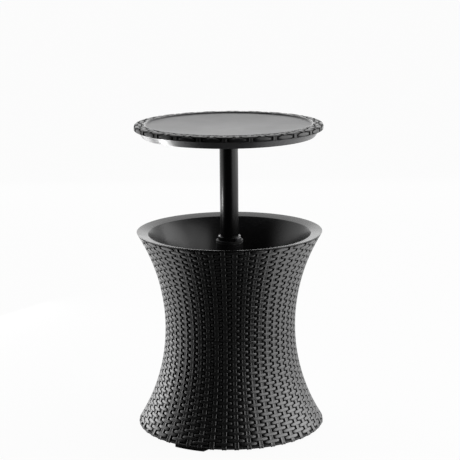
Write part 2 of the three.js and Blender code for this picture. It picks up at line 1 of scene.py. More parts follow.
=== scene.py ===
"""Dresses the patio table: woven shells, ice tub, post and collar, woven-rimmed top, feet and drain.

Every length is in metres, and every angle is in degrees, but for the camera's pitch and roll, which
are in radians. The front of the table faces -Y, and a bearing is counted from there, towards +X.
"""

import json
import logging
import math
from collections.abc import Callable, Iterable, Sequence
from dataclasses import dataclass, field
from enum import Enum
from typing import Any

import bmesh
import bpy
from mathutils import Matrix, Vector, noise

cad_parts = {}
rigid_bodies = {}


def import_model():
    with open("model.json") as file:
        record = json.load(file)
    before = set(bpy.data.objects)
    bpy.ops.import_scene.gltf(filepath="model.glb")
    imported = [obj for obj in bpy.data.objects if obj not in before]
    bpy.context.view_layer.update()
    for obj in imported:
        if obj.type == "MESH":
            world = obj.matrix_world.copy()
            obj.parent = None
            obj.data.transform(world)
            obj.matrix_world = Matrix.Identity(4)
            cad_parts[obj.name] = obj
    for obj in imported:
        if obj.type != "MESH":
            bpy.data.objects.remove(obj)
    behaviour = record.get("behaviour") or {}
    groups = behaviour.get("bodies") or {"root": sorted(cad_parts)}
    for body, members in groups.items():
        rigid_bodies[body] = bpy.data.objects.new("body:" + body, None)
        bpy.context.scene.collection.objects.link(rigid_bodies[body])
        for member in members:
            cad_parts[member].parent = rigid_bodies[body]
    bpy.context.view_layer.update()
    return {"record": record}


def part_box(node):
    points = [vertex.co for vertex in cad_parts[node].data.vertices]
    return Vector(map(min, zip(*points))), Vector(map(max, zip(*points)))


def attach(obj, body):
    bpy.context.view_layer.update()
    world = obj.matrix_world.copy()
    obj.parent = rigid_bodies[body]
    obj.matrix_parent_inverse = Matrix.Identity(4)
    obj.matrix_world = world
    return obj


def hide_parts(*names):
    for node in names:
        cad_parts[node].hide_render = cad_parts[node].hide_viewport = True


MERGE_DISTANCE = 1e-6
CAD_MERGE_DISTANCE = 1e-5
FLAT_ANGLE = 1.0
PLAIN_ANGLE = 35.0
STAKE_ANGLE = 80.0
STRAND_ANGLE = 50.0
LONGEST_ROUND = 0.48
log = logging.getLogger("table")

Point = tuple[float, float]
Triple = tuple[float, float, float]
Colour = tuple[float, float, float, float]
Placer = Callable[[float, float], Triple]
Owner = bpy.types.Material | bpy.types.World


# Shader maths


@dataclass(frozen=True)
class Wire:
    """A socket's output. Arithmetic on it adds Math nodes."""

    shader: "Shader"
    socket: bpy.types.NodeSocket

    def __add__(self, other: "Wire | float") -> "Wire":
        """Sum."""
        return self.shader.math("ADD", self, other)

    def __sub__(self, other: "Wire | float") -> "Wire":
        """Difference."""
        return self.shader.math("SUBTRACT", self, other)

    def __rsub__(self, other: float) -> "Wire":
        """Difference, with the wire second."""
        return self.shader.math("SUBTRACT", other, self)

    def __mul__(self, other: "Wire | float") -> "Wire":
        """Product."""
        return self.shader.math("MULTIPLY", self, other)

    __radd__ = __add__
    __rmul__ = __mul__

    def held(self) -> "Wire":
        """The value kept between 0 and 1."""
        return self.shader.math("ADD", self, 0.0, use_clamp=True)


class Shader:
    """The node tree of one material, or of the world."""

    def __init__(self, owner: Owner) -> None:
        """Starts an empty tree.

        Args:
            owner: the new material or world.
        """
        owner.use_nodes = True
        self.owner = owner
        self.tree = owner.node_tree
        self.tree.nodes.clear()

    @classmethod
    def of_material(cls, name: str) -> "Shader":
        """The tree of a new material."""
        return cls(bpy.data.materials.new(name))

    def node(self, kind: str, settings: dict[str, Any] | None = None, output: int | str = 0,
             **inputs: Any) -> Wire:
        """Makes any node: its settings first, then its sockets.

        Args:
            kind: the node's type.
            settings: what is set on the node itself.
            output: which output the wire comes from.
            inputs: a value or a wire for each socket, by name with _ for a space, or by _number.

        Returns:
            The wire from the chosen output.
        """
        made = self.tree.nodes.new(kind)
        for name, value in (settings or {}).items():
            setattr(made, name, value)
        for name, value in inputs.items():
            key = int(name[1:]) if name[1:].isdigit() else name.replace("_", " ")
            if isinstance(value, Wire):
                self.tree.links.new(value.socket, made.inputs[key])
            else:
                made.inputs[key].default_value = value
        return Wire(self, made.outputs[output])

    def math(self, operation: str, first: Wire | float, second: Wire | float,
             use_clamp: bool = False) -> Wire:
        """One Math node on two values."""
        settings = {"operation": operation, "use_clamp": use_clamp}
        return self.node("ShaderNodeMath", settings, _0=first, _1=second)

    def blend(self, share: Wire, first: Any, second: Any) -> Wire:
        """A colour between two colours, by share."""
        settings = {"data_type": "RGBA"}
        return self.node("ShaderNodeMix", settings, 2, _0=share, _6=first, _7=second)

    def ramp(self, value: Wire, start: float, end: float, low: float = 0.0) -> Wire:
        """A smooth rise of a value between start and end, from low to 1."""
        return self.node("ShaderNodeMapRange", {"interpolation_type": "SMOOTHSTEP"}, Value=value,
                         From_Min=start, From_Max=end, To_Min=low, To_Max=1.0)

    def place(self, scale: Sequence[float] = (1, 1, 1), use_uv: bool = False) -> Wire:
        """Object coordinates, or the piece's UV map, at a scale."""
        start = self.node("ShaderNodeTexCoord", None, "UV" if use_uv else "Object")
        return self.node("ShaderNodeMapping", None, Vector=start, Scale=scale)

    def speckle(self, place: Wire, per_metre: float, detail: float = 3.0) -> Wire:
        """Noise of so many lumps a metre."""
        return self.node("ShaderNodeTexNoise", None, "Fac", Vector=place, Scale=per_metre, Detail=detail)

    def bump(self, height: Wire, strength: float, depth: float) -> Wire:
        """The normal, bumped so deep."""
        return self.node("ShaderNodeBump", None, Strength=strength, Distance=depth, Height=height)

    def plastic(self, colour: Wire, roughness: Wire, normal: Wire, **fixed: Any) -> Wire:
        """A Principled shader, with the given values set on its own sockets."""
        return self.node("ShaderNodeBsdfPrincipled", None, Base_Color=colour, Roughness=roughness,
                         Normal=normal, **fixed)

    def close(self, surface: Wire, end_kind: str = "ShaderNodeOutputMaterial") -> Owner:
        """Links a surface to the tree's end.

        Args:
            surface: the shader that is seen.
            end_kind: the type of the output node.

        Returns:
            The material or world.
        """
        end = self.tree.nodes.new(end_kind)
        self.tree.links.new(surface.socket, end.inputs["Surface"])
        return self.owner


def grey(level: float, blue: float = 1.04) -> Colour:
    """A near-neutral plastic colour, a touch cooler than grey."""
    return (level, level, level * blue, 1.0)


# Finishes


@dataclass(frozen=True)
class Moulded:
    """Moulded plastic with a fine skin: mottled colour, uneven gloss and a grain that is felt."""

    name: str
    level: float
    roughness: float
    grain_per_metre: float = 900.0
    grain_depth: float = 0.00008
    grain_detail: float = 2.0
    grain_strength: float = 0.6
    mottle_per_metre: float = 22.0
    mottle_detail: float = 4.0
    mottle_share: float = 0.7
    mottle: float = 0.16
    gloss_change: float = 0.10
    stretch: Triple = (1, 1, 1)
    specular: float = 0.5

    def make(self) -> bpy.types.Material:
        """Builds the material.

        Returns:
            The material.
        """
        shader = Shader.of_material(self.name)
        place = shader.place(self.stretch)
        cloud = shader.speckle(place, self.mottle_per_metre, self.mottle_detail)
        grain = shader.speckle(place, self.grain_per_metre, self.grain_detail)
        low, high = self.level * (1 - self.mottle), self.level * (1 + self.mottle)
        share = (cloud * self.mottle_share + grain * (1 - self.mottle_share)).held()
        colour = shader.blend(share, grey(low), grey(high))
        roughness = cloud * self.gloss_change + (self.roughness - self.gloss_change / 2)
        bump = shader.bump(grain, self.grain_strength, self.grain_depth)
        return shader.close(shader.plastic(colour, roughness, bump, Specular_IOR_Level=self.specular))


@dataclass(frozen=True)
class Strand:
    """Plastic moulded as flat reed: fine lines along each strand, and smoother on its crest.

    Its colour carries painted shade: paler on the crest and painted darker low in the grooves, where it
    turns to a matt dark that stands in for the shade there, because little light comes back out of them.
    """

    name: str
    groove_shade_level: float
    # How dark the painted shade low in the grooves is.
    crest_level: float
    roughness: float
    line_count: float = 9.0
    line_length: float = 1.6
    line_depth: float = 0.00012
    line_strength: float = 0.7
    cloud_per_metre: float = 16.0
    cloud_detail: float = 4.0
    crest_share: float = 0.7
    cloud_share: float = 0.35
    line_share: float = 0.25
    share_start: float = 0.3
    groove_roughness: float = 0.12
    line_roughness: float = 0.1
    specular: float = 1.0
    ior: float = 1.75
    shaded_below: float = 0.40
    lit_above: float = 0.72

    def make(self) -> bpy.types.Material:
        """Builds the material.

        Returns:
            The material.
        """
        shader = Shader.of_material(self.name)
        along = shader.place((self.line_length, self.line_count, 1), use_uv=True)
        lines = shader.speckle(along, 1.0)
        cloud = shader.speckle(shader.place(), self.cloud_per_metre, self.cloud_detail)
        crest = shader.node("ShaderNodeAttribute", {"attribute_name": "crest"}, "Fac")
        # Painted shade: the colour darkens from the crest's tone towards the groove shade as the strand
        # sinks into the grooves.
        parts = crest * self.crest_share + cloud * self.cloud_share + lines * self.line_share
        colour = shader.blend((parts - self.share_start).held(), grey(self.groove_shade_level),
                              grey(self.crest_level))
        gloss = lines * self.line_roughness + (self.roughness - self.line_roughness / 2)
        roughness = (1 - crest) * self.groove_roughness + gloss
        reed = shader.plastic(colour, roughness, shader.bump(lines, self.line_strength, self.line_depth),
                              Specular_IOR_Level=self.specular, IOR=self.ior)
        # Painted shade: low in the grooves a matt dark diffuse takes over from the reed, in place of the
        # shade there.
        depth = shader.node("ShaderNodeBsdfDiffuse", Color=grey(self.groove_shade_level))
        lit = shader.ramp(crest, self.shaded_below, self.lit_above)
        return shader.close(shader.node("ShaderNodeMixShader", _0=lit, _1=depth, _2=reed))


@dataclass(frozen=True)
class Steel:
    """Plain stainless steel with fine turning marks."""

    name: str = "screw_steel"
    dull: float = 0.42
    bright: float = 0.62
    roughness: float = 0.25
    gloss_change: float = 0.15
    marks_per_metre: float = 800.0
    mark_strength: float = 0.3
    mark_depth: float = 0.00002
    stretch: Triple = (1, 1, 9)

    def make(self) -> bpy.types.Material:
        """Builds the material.

        Returns:
            The material.
        """
        shader = Shader.of_material(self.name)
        marks = shader.speckle(shader.place(self.stretch), self.marks_per_metre)
        colour = shader.blend(marks, grey(self.dull, 1.0), grey(self.bright, 1.0))
        bump = shader.bump(marks, self.mark_strength, self.mark_depth)
        roughness = marks * self.gloss_change + self.roughness
        return shader.close(shader.plastic(colour, roughness, bump, Metallic=1.0))


class Finish(Enum):
    """The finishes, by the record's material slot. The first of a slot dresses its CAD nodes."""

    WOVEN = ("woven_plastic", Strand("woven_reed", groove_shade_level=0.0008, crest_level=0.0085, roughness=0.31))
    # Painted shade: the wall that shows in the gaps between strands is painted near black, far darker than
    # the strands, as the shade in those gaps.
    WALL = ("woven_plastic", Moulded("woven_wall_painted_shade", level=0.0015, roughness=0.70))
    # Painted highlight: the hoop is painted about ten times paler than the strands of the same plastic, so
    # that it shows as a light line along the foot.
    HOOP = ("woven_plastic", Moulded("woven_hoop_painted_highlight", level=0.09, roughness=0.34))
    RIM = ("disc_plastic", Strand("rim_reed", groove_shade_level=0.002, crest_level=0.028, roughness=0.32,
                                  specular=0.8, ior=1.5))
    # Painted shade: the rim's wall, seen in the gaps between its strands, is painted near black as the
    # shade in those gaps.
    RIM_WALL = ("disc_plastic", Moulded("rim_wall_painted_shade", level=0.002, roughness=0.65))
    LIP = ("disc_plastic", Moulded("lip_skin", level=0.07, roughness=0.18, grain_per_metre=700.0,
                                   grain_depth=0.00004))
    DISC = ("disc_plastic", Moulded("disc_skin", level=0.065, roughness=0.38, grain_per_metre=700.0,
                                    mottle_per_metre=14.0, mottle=0.10))
    SMOOTH = ("smooth_plastic", Moulded("smooth_skin", level=0.11, roughness=0.28,
                                        grain_per_metre=500.0, grain_depth=0.00002))
    TUB = ("tub_plastic", Moulded("tub_skin", level=0.012, roughness=0.26, grain_per_metre=500.0,
                                  grain_depth=0.00003))
    POST = ("post_plastic", Moulded("post_skin", level=0.004, roughness=0.27, grain_per_metre=260.0,
                                    grain_depth=0.00003, mottle_per_metre=30.0, mottle=0.2,
                                    stretch=(1, 1, 0.05), specular=0.40))
    # Painted highlight: the ear is painted far paler than the collar of the same plastic, standing in for
    # its lit face.
    EAR = ("post_plastic", Moulded("ear_painted_highlight", level=0.09, roughness=0.36))
    INNER = ("inner_plastic", Moulded("inner_skin", level=0.018, roughness=0.55))
    RUBBER = ("rubber", Moulded("rubber_skin", level=0.012, roughness=0.78, grain_per_metre=1500.0,
                                grain_depth=0.00006))
    STEEL = ("steel", Steel())

    def __init__(self, slot: str, maker: Moulded | Strand | Steel) -> None:
        """Keeps the record's slot, and makes no material yet.

        Args:
            slot: the record's material slot.
            maker: what makes the material.
        """
        self.slot = slot
        self.maker = maker
        self.made: bpy.types.Material | None = None

    def material(self) -> bpy.types.Material:
        """The finish's material, made once."""
        self.made = self.made or self.maker.make()
        return self.made


# Mesh tools


def shared(start: float, end: float, steps: int) -> list[float]:
    """Places from start to end with even steps."""
    return [start + (end - start) * step / steps for step in range(steps + 1)]


def on_circle(radius: float, bearing: float, height: float) -> Vector:
    """A point at a bearing from the front, in degrees."""
    angle = math.radians(bearing)
    return Vector((radius * math.sin(angle), -radius * math.cos(angle), height))


def rounded(outline: Sequence[Triple], steps: int = 4) -> list[Point]:
    """Rounds the corners of an outline.

    Args:
        outline: radius, height and corner radius of each corner.
        steps: how many edges each round corner has.

    Returns:
        The outline's points.
    """
    points: list[Point] = []
    for index, (radius, height, corner) in enumerate(outline):
        here = Vector((radius, height))
        back = Vector(outline[index - 1][:2]) - here
        ahead = Vector(outline[(index + 1) % len(outline)][:2]) - here
        ends = index in (0, len(outline) - 1)
        if corner <= 0 or (ends and outline[0][0] == 0):
            points.append((radius, height))
            continue
        turn = back.angle(ahead)
        reach = min(corner / math.tan(turn / 2), back.length * LONGEST_ROUND, ahead.length * LONGEST_ROUND)
        first, last = here + back.normalized() * reach, here + ahead.normalized() * reach
        for share in shared(0.0, 1.0, steps):
            near = first.lerp(here, share)
            far = here.lerp(last, share)
            point = near.lerp(far, share)
            points.append((point.x, point.y))
    return points


def spun(outline: Sequence[Point], steps: int, closed: bool = True) -> bmesh.types.BMesh:
    """Spins an outline of radius and height about the table's axis.

    Args:
        outline: the outline's points.
        steps: how many faces go round.
        closed: whether the outline is joined end to start.

    Returns:
        The mesh.
    """
    mesh = bmesh.new()
    corners = [mesh.verts.new((radius, 0, height)) for radius, height in outline]
    pairs = list(zip(corners, corners[1:]))
    if closed:
        pairs.append((corners[-1], corners[0]))
    edges = [mesh.edges.new(pair) for pair in pairs if (pair[0].co.xy + pair[1].co.xy).length > 0]
    bmesh.ops.spin(mesh, geom=corners + edges, cent=(0, 0, 0), axis=(0, 0, 1), dvec=(0, 0, 0),
                   angle=2 * math.pi, steps=steps, use_merge=True, use_duplicate=False)
    bmesh.ops.remove_doubles(mesh, verts=mesh.verts, dist=MERGE_DISTANCE)
    bmesh.ops.recalc_face_normals(mesh, faces=mesh.faces)
    return mesh


def copied_round(mesh: bmesh.types.BMesh, count: int) -> None:
    """Repeats everything in the mesh about the table's axis.

    Args:
        mesh: the mesh.
        count: how many there are in the end.
    """
    bmesh.ops.spin(mesh, geom=mesh.verts[:] + mesh.edges[:] + mesh.faces[:], cent=(0, 0, 0),
                   axis=(0, 0, 1), dvec=(0, 0, 0), angle=2 * math.pi * (count - 1) / count,
                   steps=count - 1, use_merge=False, use_duplicate=True)


def softened(mesh: bmesh.types.BMesh, width: float, least_angle: float = 30, segments: int = 2) -> None:
    """Rounds the mesh's sharp edges.

    Args:
        mesh: the mesh.
        width: how far back from the edge the round starts.
        least_angle: edges that turn less than this, in degrees, stay.
        segments: how many faces make the round.
    """
    bmesh.ops.dissolve_limit(mesh, angle_limit=math.radians(FLAT_ANGLE), verts=mesh.verts,
                             edges=mesh.edges)
    sharp = [edge for edge in mesh.edges
             if len(edge.link_faces) == 2 and edge.calc_face_angle() > math.radians(least_angle)]
    bmesh.ops.bevel(mesh, geom=sharp, offset=width, segments=segments, profile=0.5, affect="EDGES",
                    clamp_overlap=True, material=-1)


def block(middle: Sequence[float], size: Sequence[float]) -> bmesh.types.BMesh:
    """A plain block.

    Args:
        middle: the place of its middle.
        size: its width, depth and height.

    Returns:
        The mesh.
    """
    mesh = bmesh.new()
    lay = Matrix.Translation(middle) @ Matrix.Diagonal((*size, 1))
    bmesh.ops.create_cube(mesh, size=1, matrix=lay)
    return mesh


def cad_copy(node: str) -> bmesh.types.BMesh:
    """A CAD node's mesh with its loose triangles merged.

    Args:
        node: the node's name.

    Returns:
        The mesh.
    """
    mesh = bmesh.new()
    mesh.from_mesh(bpy.data.objects[node].data)
    bmesh.ops.remove_doubles(mesh, verts=mesh.verts, dist=CAD_MERGE_DISTANCE)
    return mesh


@dataclass
class Piece:
    """One visible piece of the table."""

    name: str
    body: str
    finish: Finish
    stands_for: tuple[str, ...]
    smooth_angle: float = PLAIN_ANGLE

    def publish(self, mesh: bmesh.types.BMesh) -> bpy.types.Object:
        """Turns the mesh into an object that rides on its body.

        Args:
            mesh: the finished mesh, which is freed.

        Returns:
            The object.
        """
        data = bpy.data.meshes.new(self.name)
        mesh.to_mesh(data)
        mesh.free()
        data.shade_smooth()
        data.set_sharp_from_angle(angle=math.radians(self.smooth_angle))
        data.materials.append(self.finish.material())
        made = bpy.data.objects.new(self.name, data)
        bpy.context.scene.collection.objects.link(made)
        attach(made, self.body)
        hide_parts(*self.stands_for)
        triangles = sum(len(face.vertices) - 2 for face in data.polygons)
        log.info("%s: %d triangles on %s", self.name, triangles, self.body)
        return made


def cut_by(piece: bpy.types.Object, cutter: bmesh.types.BMesh, operation: str = "DIFFERENCE") -> None:
    """Cuts a cutter out of a piece, or joins it on, and leaves no modifier.

    Args:
        piece: the piece that changes.
        cutter: the mesh that is taken out or joined on, which is freed.
        operation: DIFFERENCE or UNION.
    """
    data = bpy.data.meshes.new("cutter")
    cutter.to_mesh(data)
    cutter.free()
    tool = bpy.data.objects.new("cutter", data)
    bpy.context.scene.collection.objects.link(tool)
    change = piece.modifiers.new("cut", "BOOLEAN")
    change.object = tool
    change.operation = operation
    change.solver = "EXACT"
    bpy.context.view_layer.update()
    shape = bpy.data.meshes.new_from_object(piece.evaluated_get(bpy.context.evaluated_depsgraph_get()))
    piece.modifiers.clear()
    old = piece.data
    piece.data = shape
    bpy.data.meshes.remove(old)
    bpy.data.objects.remove(tool)
    bpy.data.meshes.remove(data)
    shape.set_sharp_from_angle(angle=math.radians(PLAIN_ANGLE))


# Weave


@dataclass(frozen=True)
class Flare:
    """The body's side: an arc that is narrowest at the waist."""

    waist_height: float = 0.272
    waist_radius: float = 0.1741
    arc_radius: float = 0.5
    relief: float = 0.0032
    foot_line: float = 0.0083
    foot_scale: float = 0.001

    def radius(self, height: float) -> float:
        """The crest's radius at a height."""
        rise = height - self.waist_height
        return self.waist_radius + self.arc_radius - math.sqrt(self.arc_radius ** 2 - rise ** 2)

    def side(self, start: float, end: float, inset: float, steps: int) -> list[Point]:
        """Points up the side, inset from the crests."""
        return [(self.radius(height) - inset, height) for height in shared(start, end, steps)]

    def at(self, along: float, proud: float) -> Point:
        """The place on the side at a height, standing proud of the grooves.

        Below the foot line the way turns in under the wall.

        Args:
            along: the height, or the way under the wall, so far for each length.
            proud: the height above the grooves.

        Returns:
            Its radius and height.
        """
        height = max(along, self.foot_line)
        rise = height - self.waist_height
        tilt = math.atan2(-rise, math.sqrt(self.arc_radius ** 2 - rise ** 2))
        tilt -= (height - along) / self.foot_scale
        return (self.radius(height) - self.relief + proud * math.cos(tilt),
                height + proud * math.sin(tilt))


@dataclass(frozen=True)
class RimPath:
    """The table rim's way from the foot of its side band, up and over to its inner edge."""

    side_radius: float = 0.2450
    foot: float = 0.8026
    top: float = 0.8132
    corner: float = 0.0035

    def at(self, along: float, proud: float) -> Point:
        """The place on the rim so far along.

        Args:
            along: the way from the foot.
            proud: the height above the grooves.

        Returns:
            Its radius and height.
        """
        rise = self.top - self.corner - self.foot
        bend = self.corner * math.pi / 2
        if along <= rise:
            return self.side_radius + proud, self.foot + along
        if along >= rise + bend:
            return self.side_radius - self.corner - (along - rise - bend), self.top + proud
        angle = (along - rise) / self.corner
        reach = self.corner + proud
        return (self.side_radius - self.corner + reach * math.cos(angle),
                self.top - self.corner + reach * math.sin(angle))


@dataclass(frozen=True)
class Weave:
    """A plain weave: stakes of two ribs, and strands that pass over every second stake."""

    path: Flare | RimPath
    ends: Point
    row_count: int
    relief: float
    phase: float
    row_fill: float = 0.495
    first_over: int = 1
    stake_count: int = 48
    stake_width: float = 0.0111
    stake_radius: float = 0.178
    stake_growth: float = 0.6
    rib_place: float = 0.66
    rib_rise: float = 0.93
    slot_rise: float = 0.76
    tuck_gap: float = 0.0026
    gap_growth: float = 1.6
    taper: float = 0.28
    end_cut: float = 0.45
    end_cut_power: float = 9
    saddle: float = 0.10
    saddle_width: float = 0.0018
    belly: float = 0.20
    end_power: float = 6
    crown_power: float = 10
    edge_crowding: float = 1.8
    edge_height: float = 0.78
    waver: float = 0.00022
    lumps_per_metre: float = 70
    lump_middle: float = 0.35
    drifts_per_metre: float = 45
    drift_shift: Triple = (7, 3, 1)
    steps_along: int = 14
    steps_across: int = 7
    steps_stake: int = 10

    @property
    def pitch(self) -> float:
        """The angle from stake to stake, in degrees."""
        return 360 / self.stake_count

    @property
    def row_pitch(self) -> float:
        """The distance from row to row."""
        return (self.ends[1] - self.ends[0]) / self.row_count

    def mapped(self, mesh: bmesh.types.BMesh, verts: Iterable[bmesh.types.BMVert], place: Placer) -> None:
        """Lays a flat grid on the path.

        Args:
            mesh: the mesh that holds the grid.
            verts: the grid's corners, from -1 to 1 along X and Y.
            place: gives the bearing, the distance along the path and the height above the grooves.
        """
        crest = mesh.verts.layers.float.get("crest")
        for vert in verts:
            bearing, along, proud = place(vert.co.x, vert.co.y)
            # The crest share, from the grooves up to the full relief, which the strands' material turns
            # into painted shade low in the grooves.
            vert[crest] = max(0.0, proud / self.relief)
            radius, height = self.path.at(along, proud)
            vert.co = on_circle(radius, bearing, height)

    def fresh(self) -> bmesh.types.BMesh:
        """Starts a mesh with the layers that the strands carry.

        Returns:
            The empty mesh.
        """
        mesh = bmesh.new()
        mesh.loops.layers.uv.new("UVMap")
        mesh.verts.layers.float.new("crest")
        return mesh

    def half_stake(self, radius: float) -> float:
        """Half a stake's width, which grows with the radius from the measured one."""
        return self.stake_width / 2 * (radius / self.stake_radius) ** self.stake_growth

    def reach(self, radius: float) -> float:
        """Half the angle that a strand spans, to just short of the next stake, in degrees."""
        gap = self.tuck_gap * (self.stake_radius / radius) ** self.gap_growth
        return self.pitch - math.degrees((self.half_stake(radius) + gap) / radius)

    def rise(self, offset: float, reach: float, edge: float) -> float:
        """How proud an arch stands.

        Args:
            offset: the distance from its stake's middle.
            reach: that distance at the arch's end.
            edge: the place across the strand, from -1 to 1.

        Returns:
            The height above the grooves.
        """
        along = abs(offset / reach)
        swell = (1 - self.belly * along ** 2) * math.sqrt(max(0.0, 1 - along ** self.end_power))
        dip = self.saddle * math.exp(-(offset / self.saddle_width) ** 2)
        crown = math.sqrt(1 - abs(edge) ** self.crown_power)
        side = self.edge_height * (1 - along ** 2)
        return self.relief * (swell - dip) * (side + (1 - side) * crown)

    def arch(self, index: int) -> Placer:
        """The shape of the arches of one row.

        Args:
            index: the row's number from the start of the path.

        Returns:
            What gives the bearing, the distance along the path and the height above the grooves.
        """
        row = self.ends[0] + self.row_pitch * (index + 0.5)
        middle = self.phase + self.pitch * ((index + self.first_over) % 2)
        radius = self.path.at(row, 0)[0]
        span = self.reach(radius)
        half_length = math.radians(span) * radius
        half_height = self.row_pitch * self.row_fill

        def place(across: float, up: float) -> Triple:
            """One corner of the arch.

            Args:
                across: its place along the strand, from -1 to 1.
                up: its place across the strand, from -1 to 1.

            Returns:
                Its bearing, distance along the path and height above the grooves.
            """
            along = math.sin(across * math.pi / 2)
            narrow = (1 - self.taper * along ** 2) * (1 - self.end_cut * abs(along) ** self.end_cut_power)
            edge = math.copysign(1 - (1 - abs(up)) ** self.edge_crowding, up)
            proud = self.rise(along * half_length, half_length, edge)
            return middle + along * span, row + edge * half_height * narrow, proud

        return place

    def strands(self) -> bmesh.types.BMesh:
        """The strands' arches, row by row, each over one stake and tucked beside the next.

        Returns:
            The mesh.
        """
        mesh = self.fresh()
        for index in range(self.row_count):
            grid = bmesh.ops.create_grid(mesh, x_segments=self.steps_along, y_segments=self.steps_across,
                                         size=1, calc_uvs=True)
            self.mapped(mesh, grid["verts"], self.arch(index))
        copied_round(mesh, self.stake_count // 2)
        self.worn(mesh)
        return mesh

    def worn(self, mesh: bmesh.types.BMesh) -> None:
        """Lets the strands waver a little, as moulds taken from real reed do.

        Args:
            mesh: the strands' mesh.
        """
        shift = Vector(self.drift_shift)
        for vert in mesh.verts:
            lump = noise.noise(vert.co * self.lumps_per_metre)
            drift = noise.noise(vert.co * self.drifts_per_metre + shift)
            outward = Vector((vert.co.x, vert.co.y, 0)).normalized()
            vert.co += outward * (lump - self.lump_middle) * self.waver
            vert.co.z += drift * self.waver

    def stakes(self, places: Sequence[float]) -> bmesh.types.BMesh:
        """The stakes, each a strip with two ribs.

        Args:
            places: where the strip's cross lines lie along the path.

        Returns:
            The mesh.
        """
        mesh = self.fresh()
        last = len(places) - 1
        grid = bmesh.ops.create_grid(mesh, x_segments=self.steps_stake, y_segments=last, size=1,
                                     calc_uvs=True)

        def place(across: float, up: float) -> Triple:
            """One corner of the stake.

            Args:
                across: its place across the stake, from -1 to 1.
                up: its place along the stake, from -1 to 1.

            Returns:
                Its bearing, distance along the path and height above the grooves.
            """
            along = places[round((up + 1) / 2 * last)]
            radius = self.path.at(along, 0)[0]
            off_rib = (abs(across) - self.rib_place) / (1 - self.rib_place)
            rib = math.sqrt(max(0.0, 1 - off_rib ** 2))
            slot = self.slot_rise if abs(across) < self.rib_place else 0
            proud = self.relief * self.rib_rise * max(rib, slot)
            return self.phase + math.degrees(across * self.half_stake(radius) / radius), along, proud

        self.mapped(mesh, grid["verts"], place)
        copied_round(mesh, self.stake_count)
        return mesh


# The body


@dataclass(frozen=True)
class DrainLine:
    """The drain's line, straight back from the axis, and the hole on it."""

    height: float = 0.239
    hole: float = 0.0103
    sides: int = 48

    def rod(self, radius: float, start: float, end: float) -> bmesh.types.BMesh:
        """A rod on the line.

        Args:
            radius: the rod's radius.
            start: how far behind the axis it starts.
            end: how far behind the axis it ends.

        Returns:
            The mesh.
        """
        mesh = bmesh.new()
        lay = Matrix.Translation((0, (start + end) / 2, self.height)) @ Matrix.Rotation(math.pi / 2, 4, "X")
        bmesh.ops.create_cone(mesh, cap_ends=True, segments=self.sides, radius1=radius, radius2=radius,
                              depth=end - start, matrix=lay)
        return mesh

    def drill(self, start: float, end: float) -> bmesh.types.BMesh:
        """The rod that cuts the hole, from one distance behind the axis to another."""
        return self.rod(self.hole, start, end)


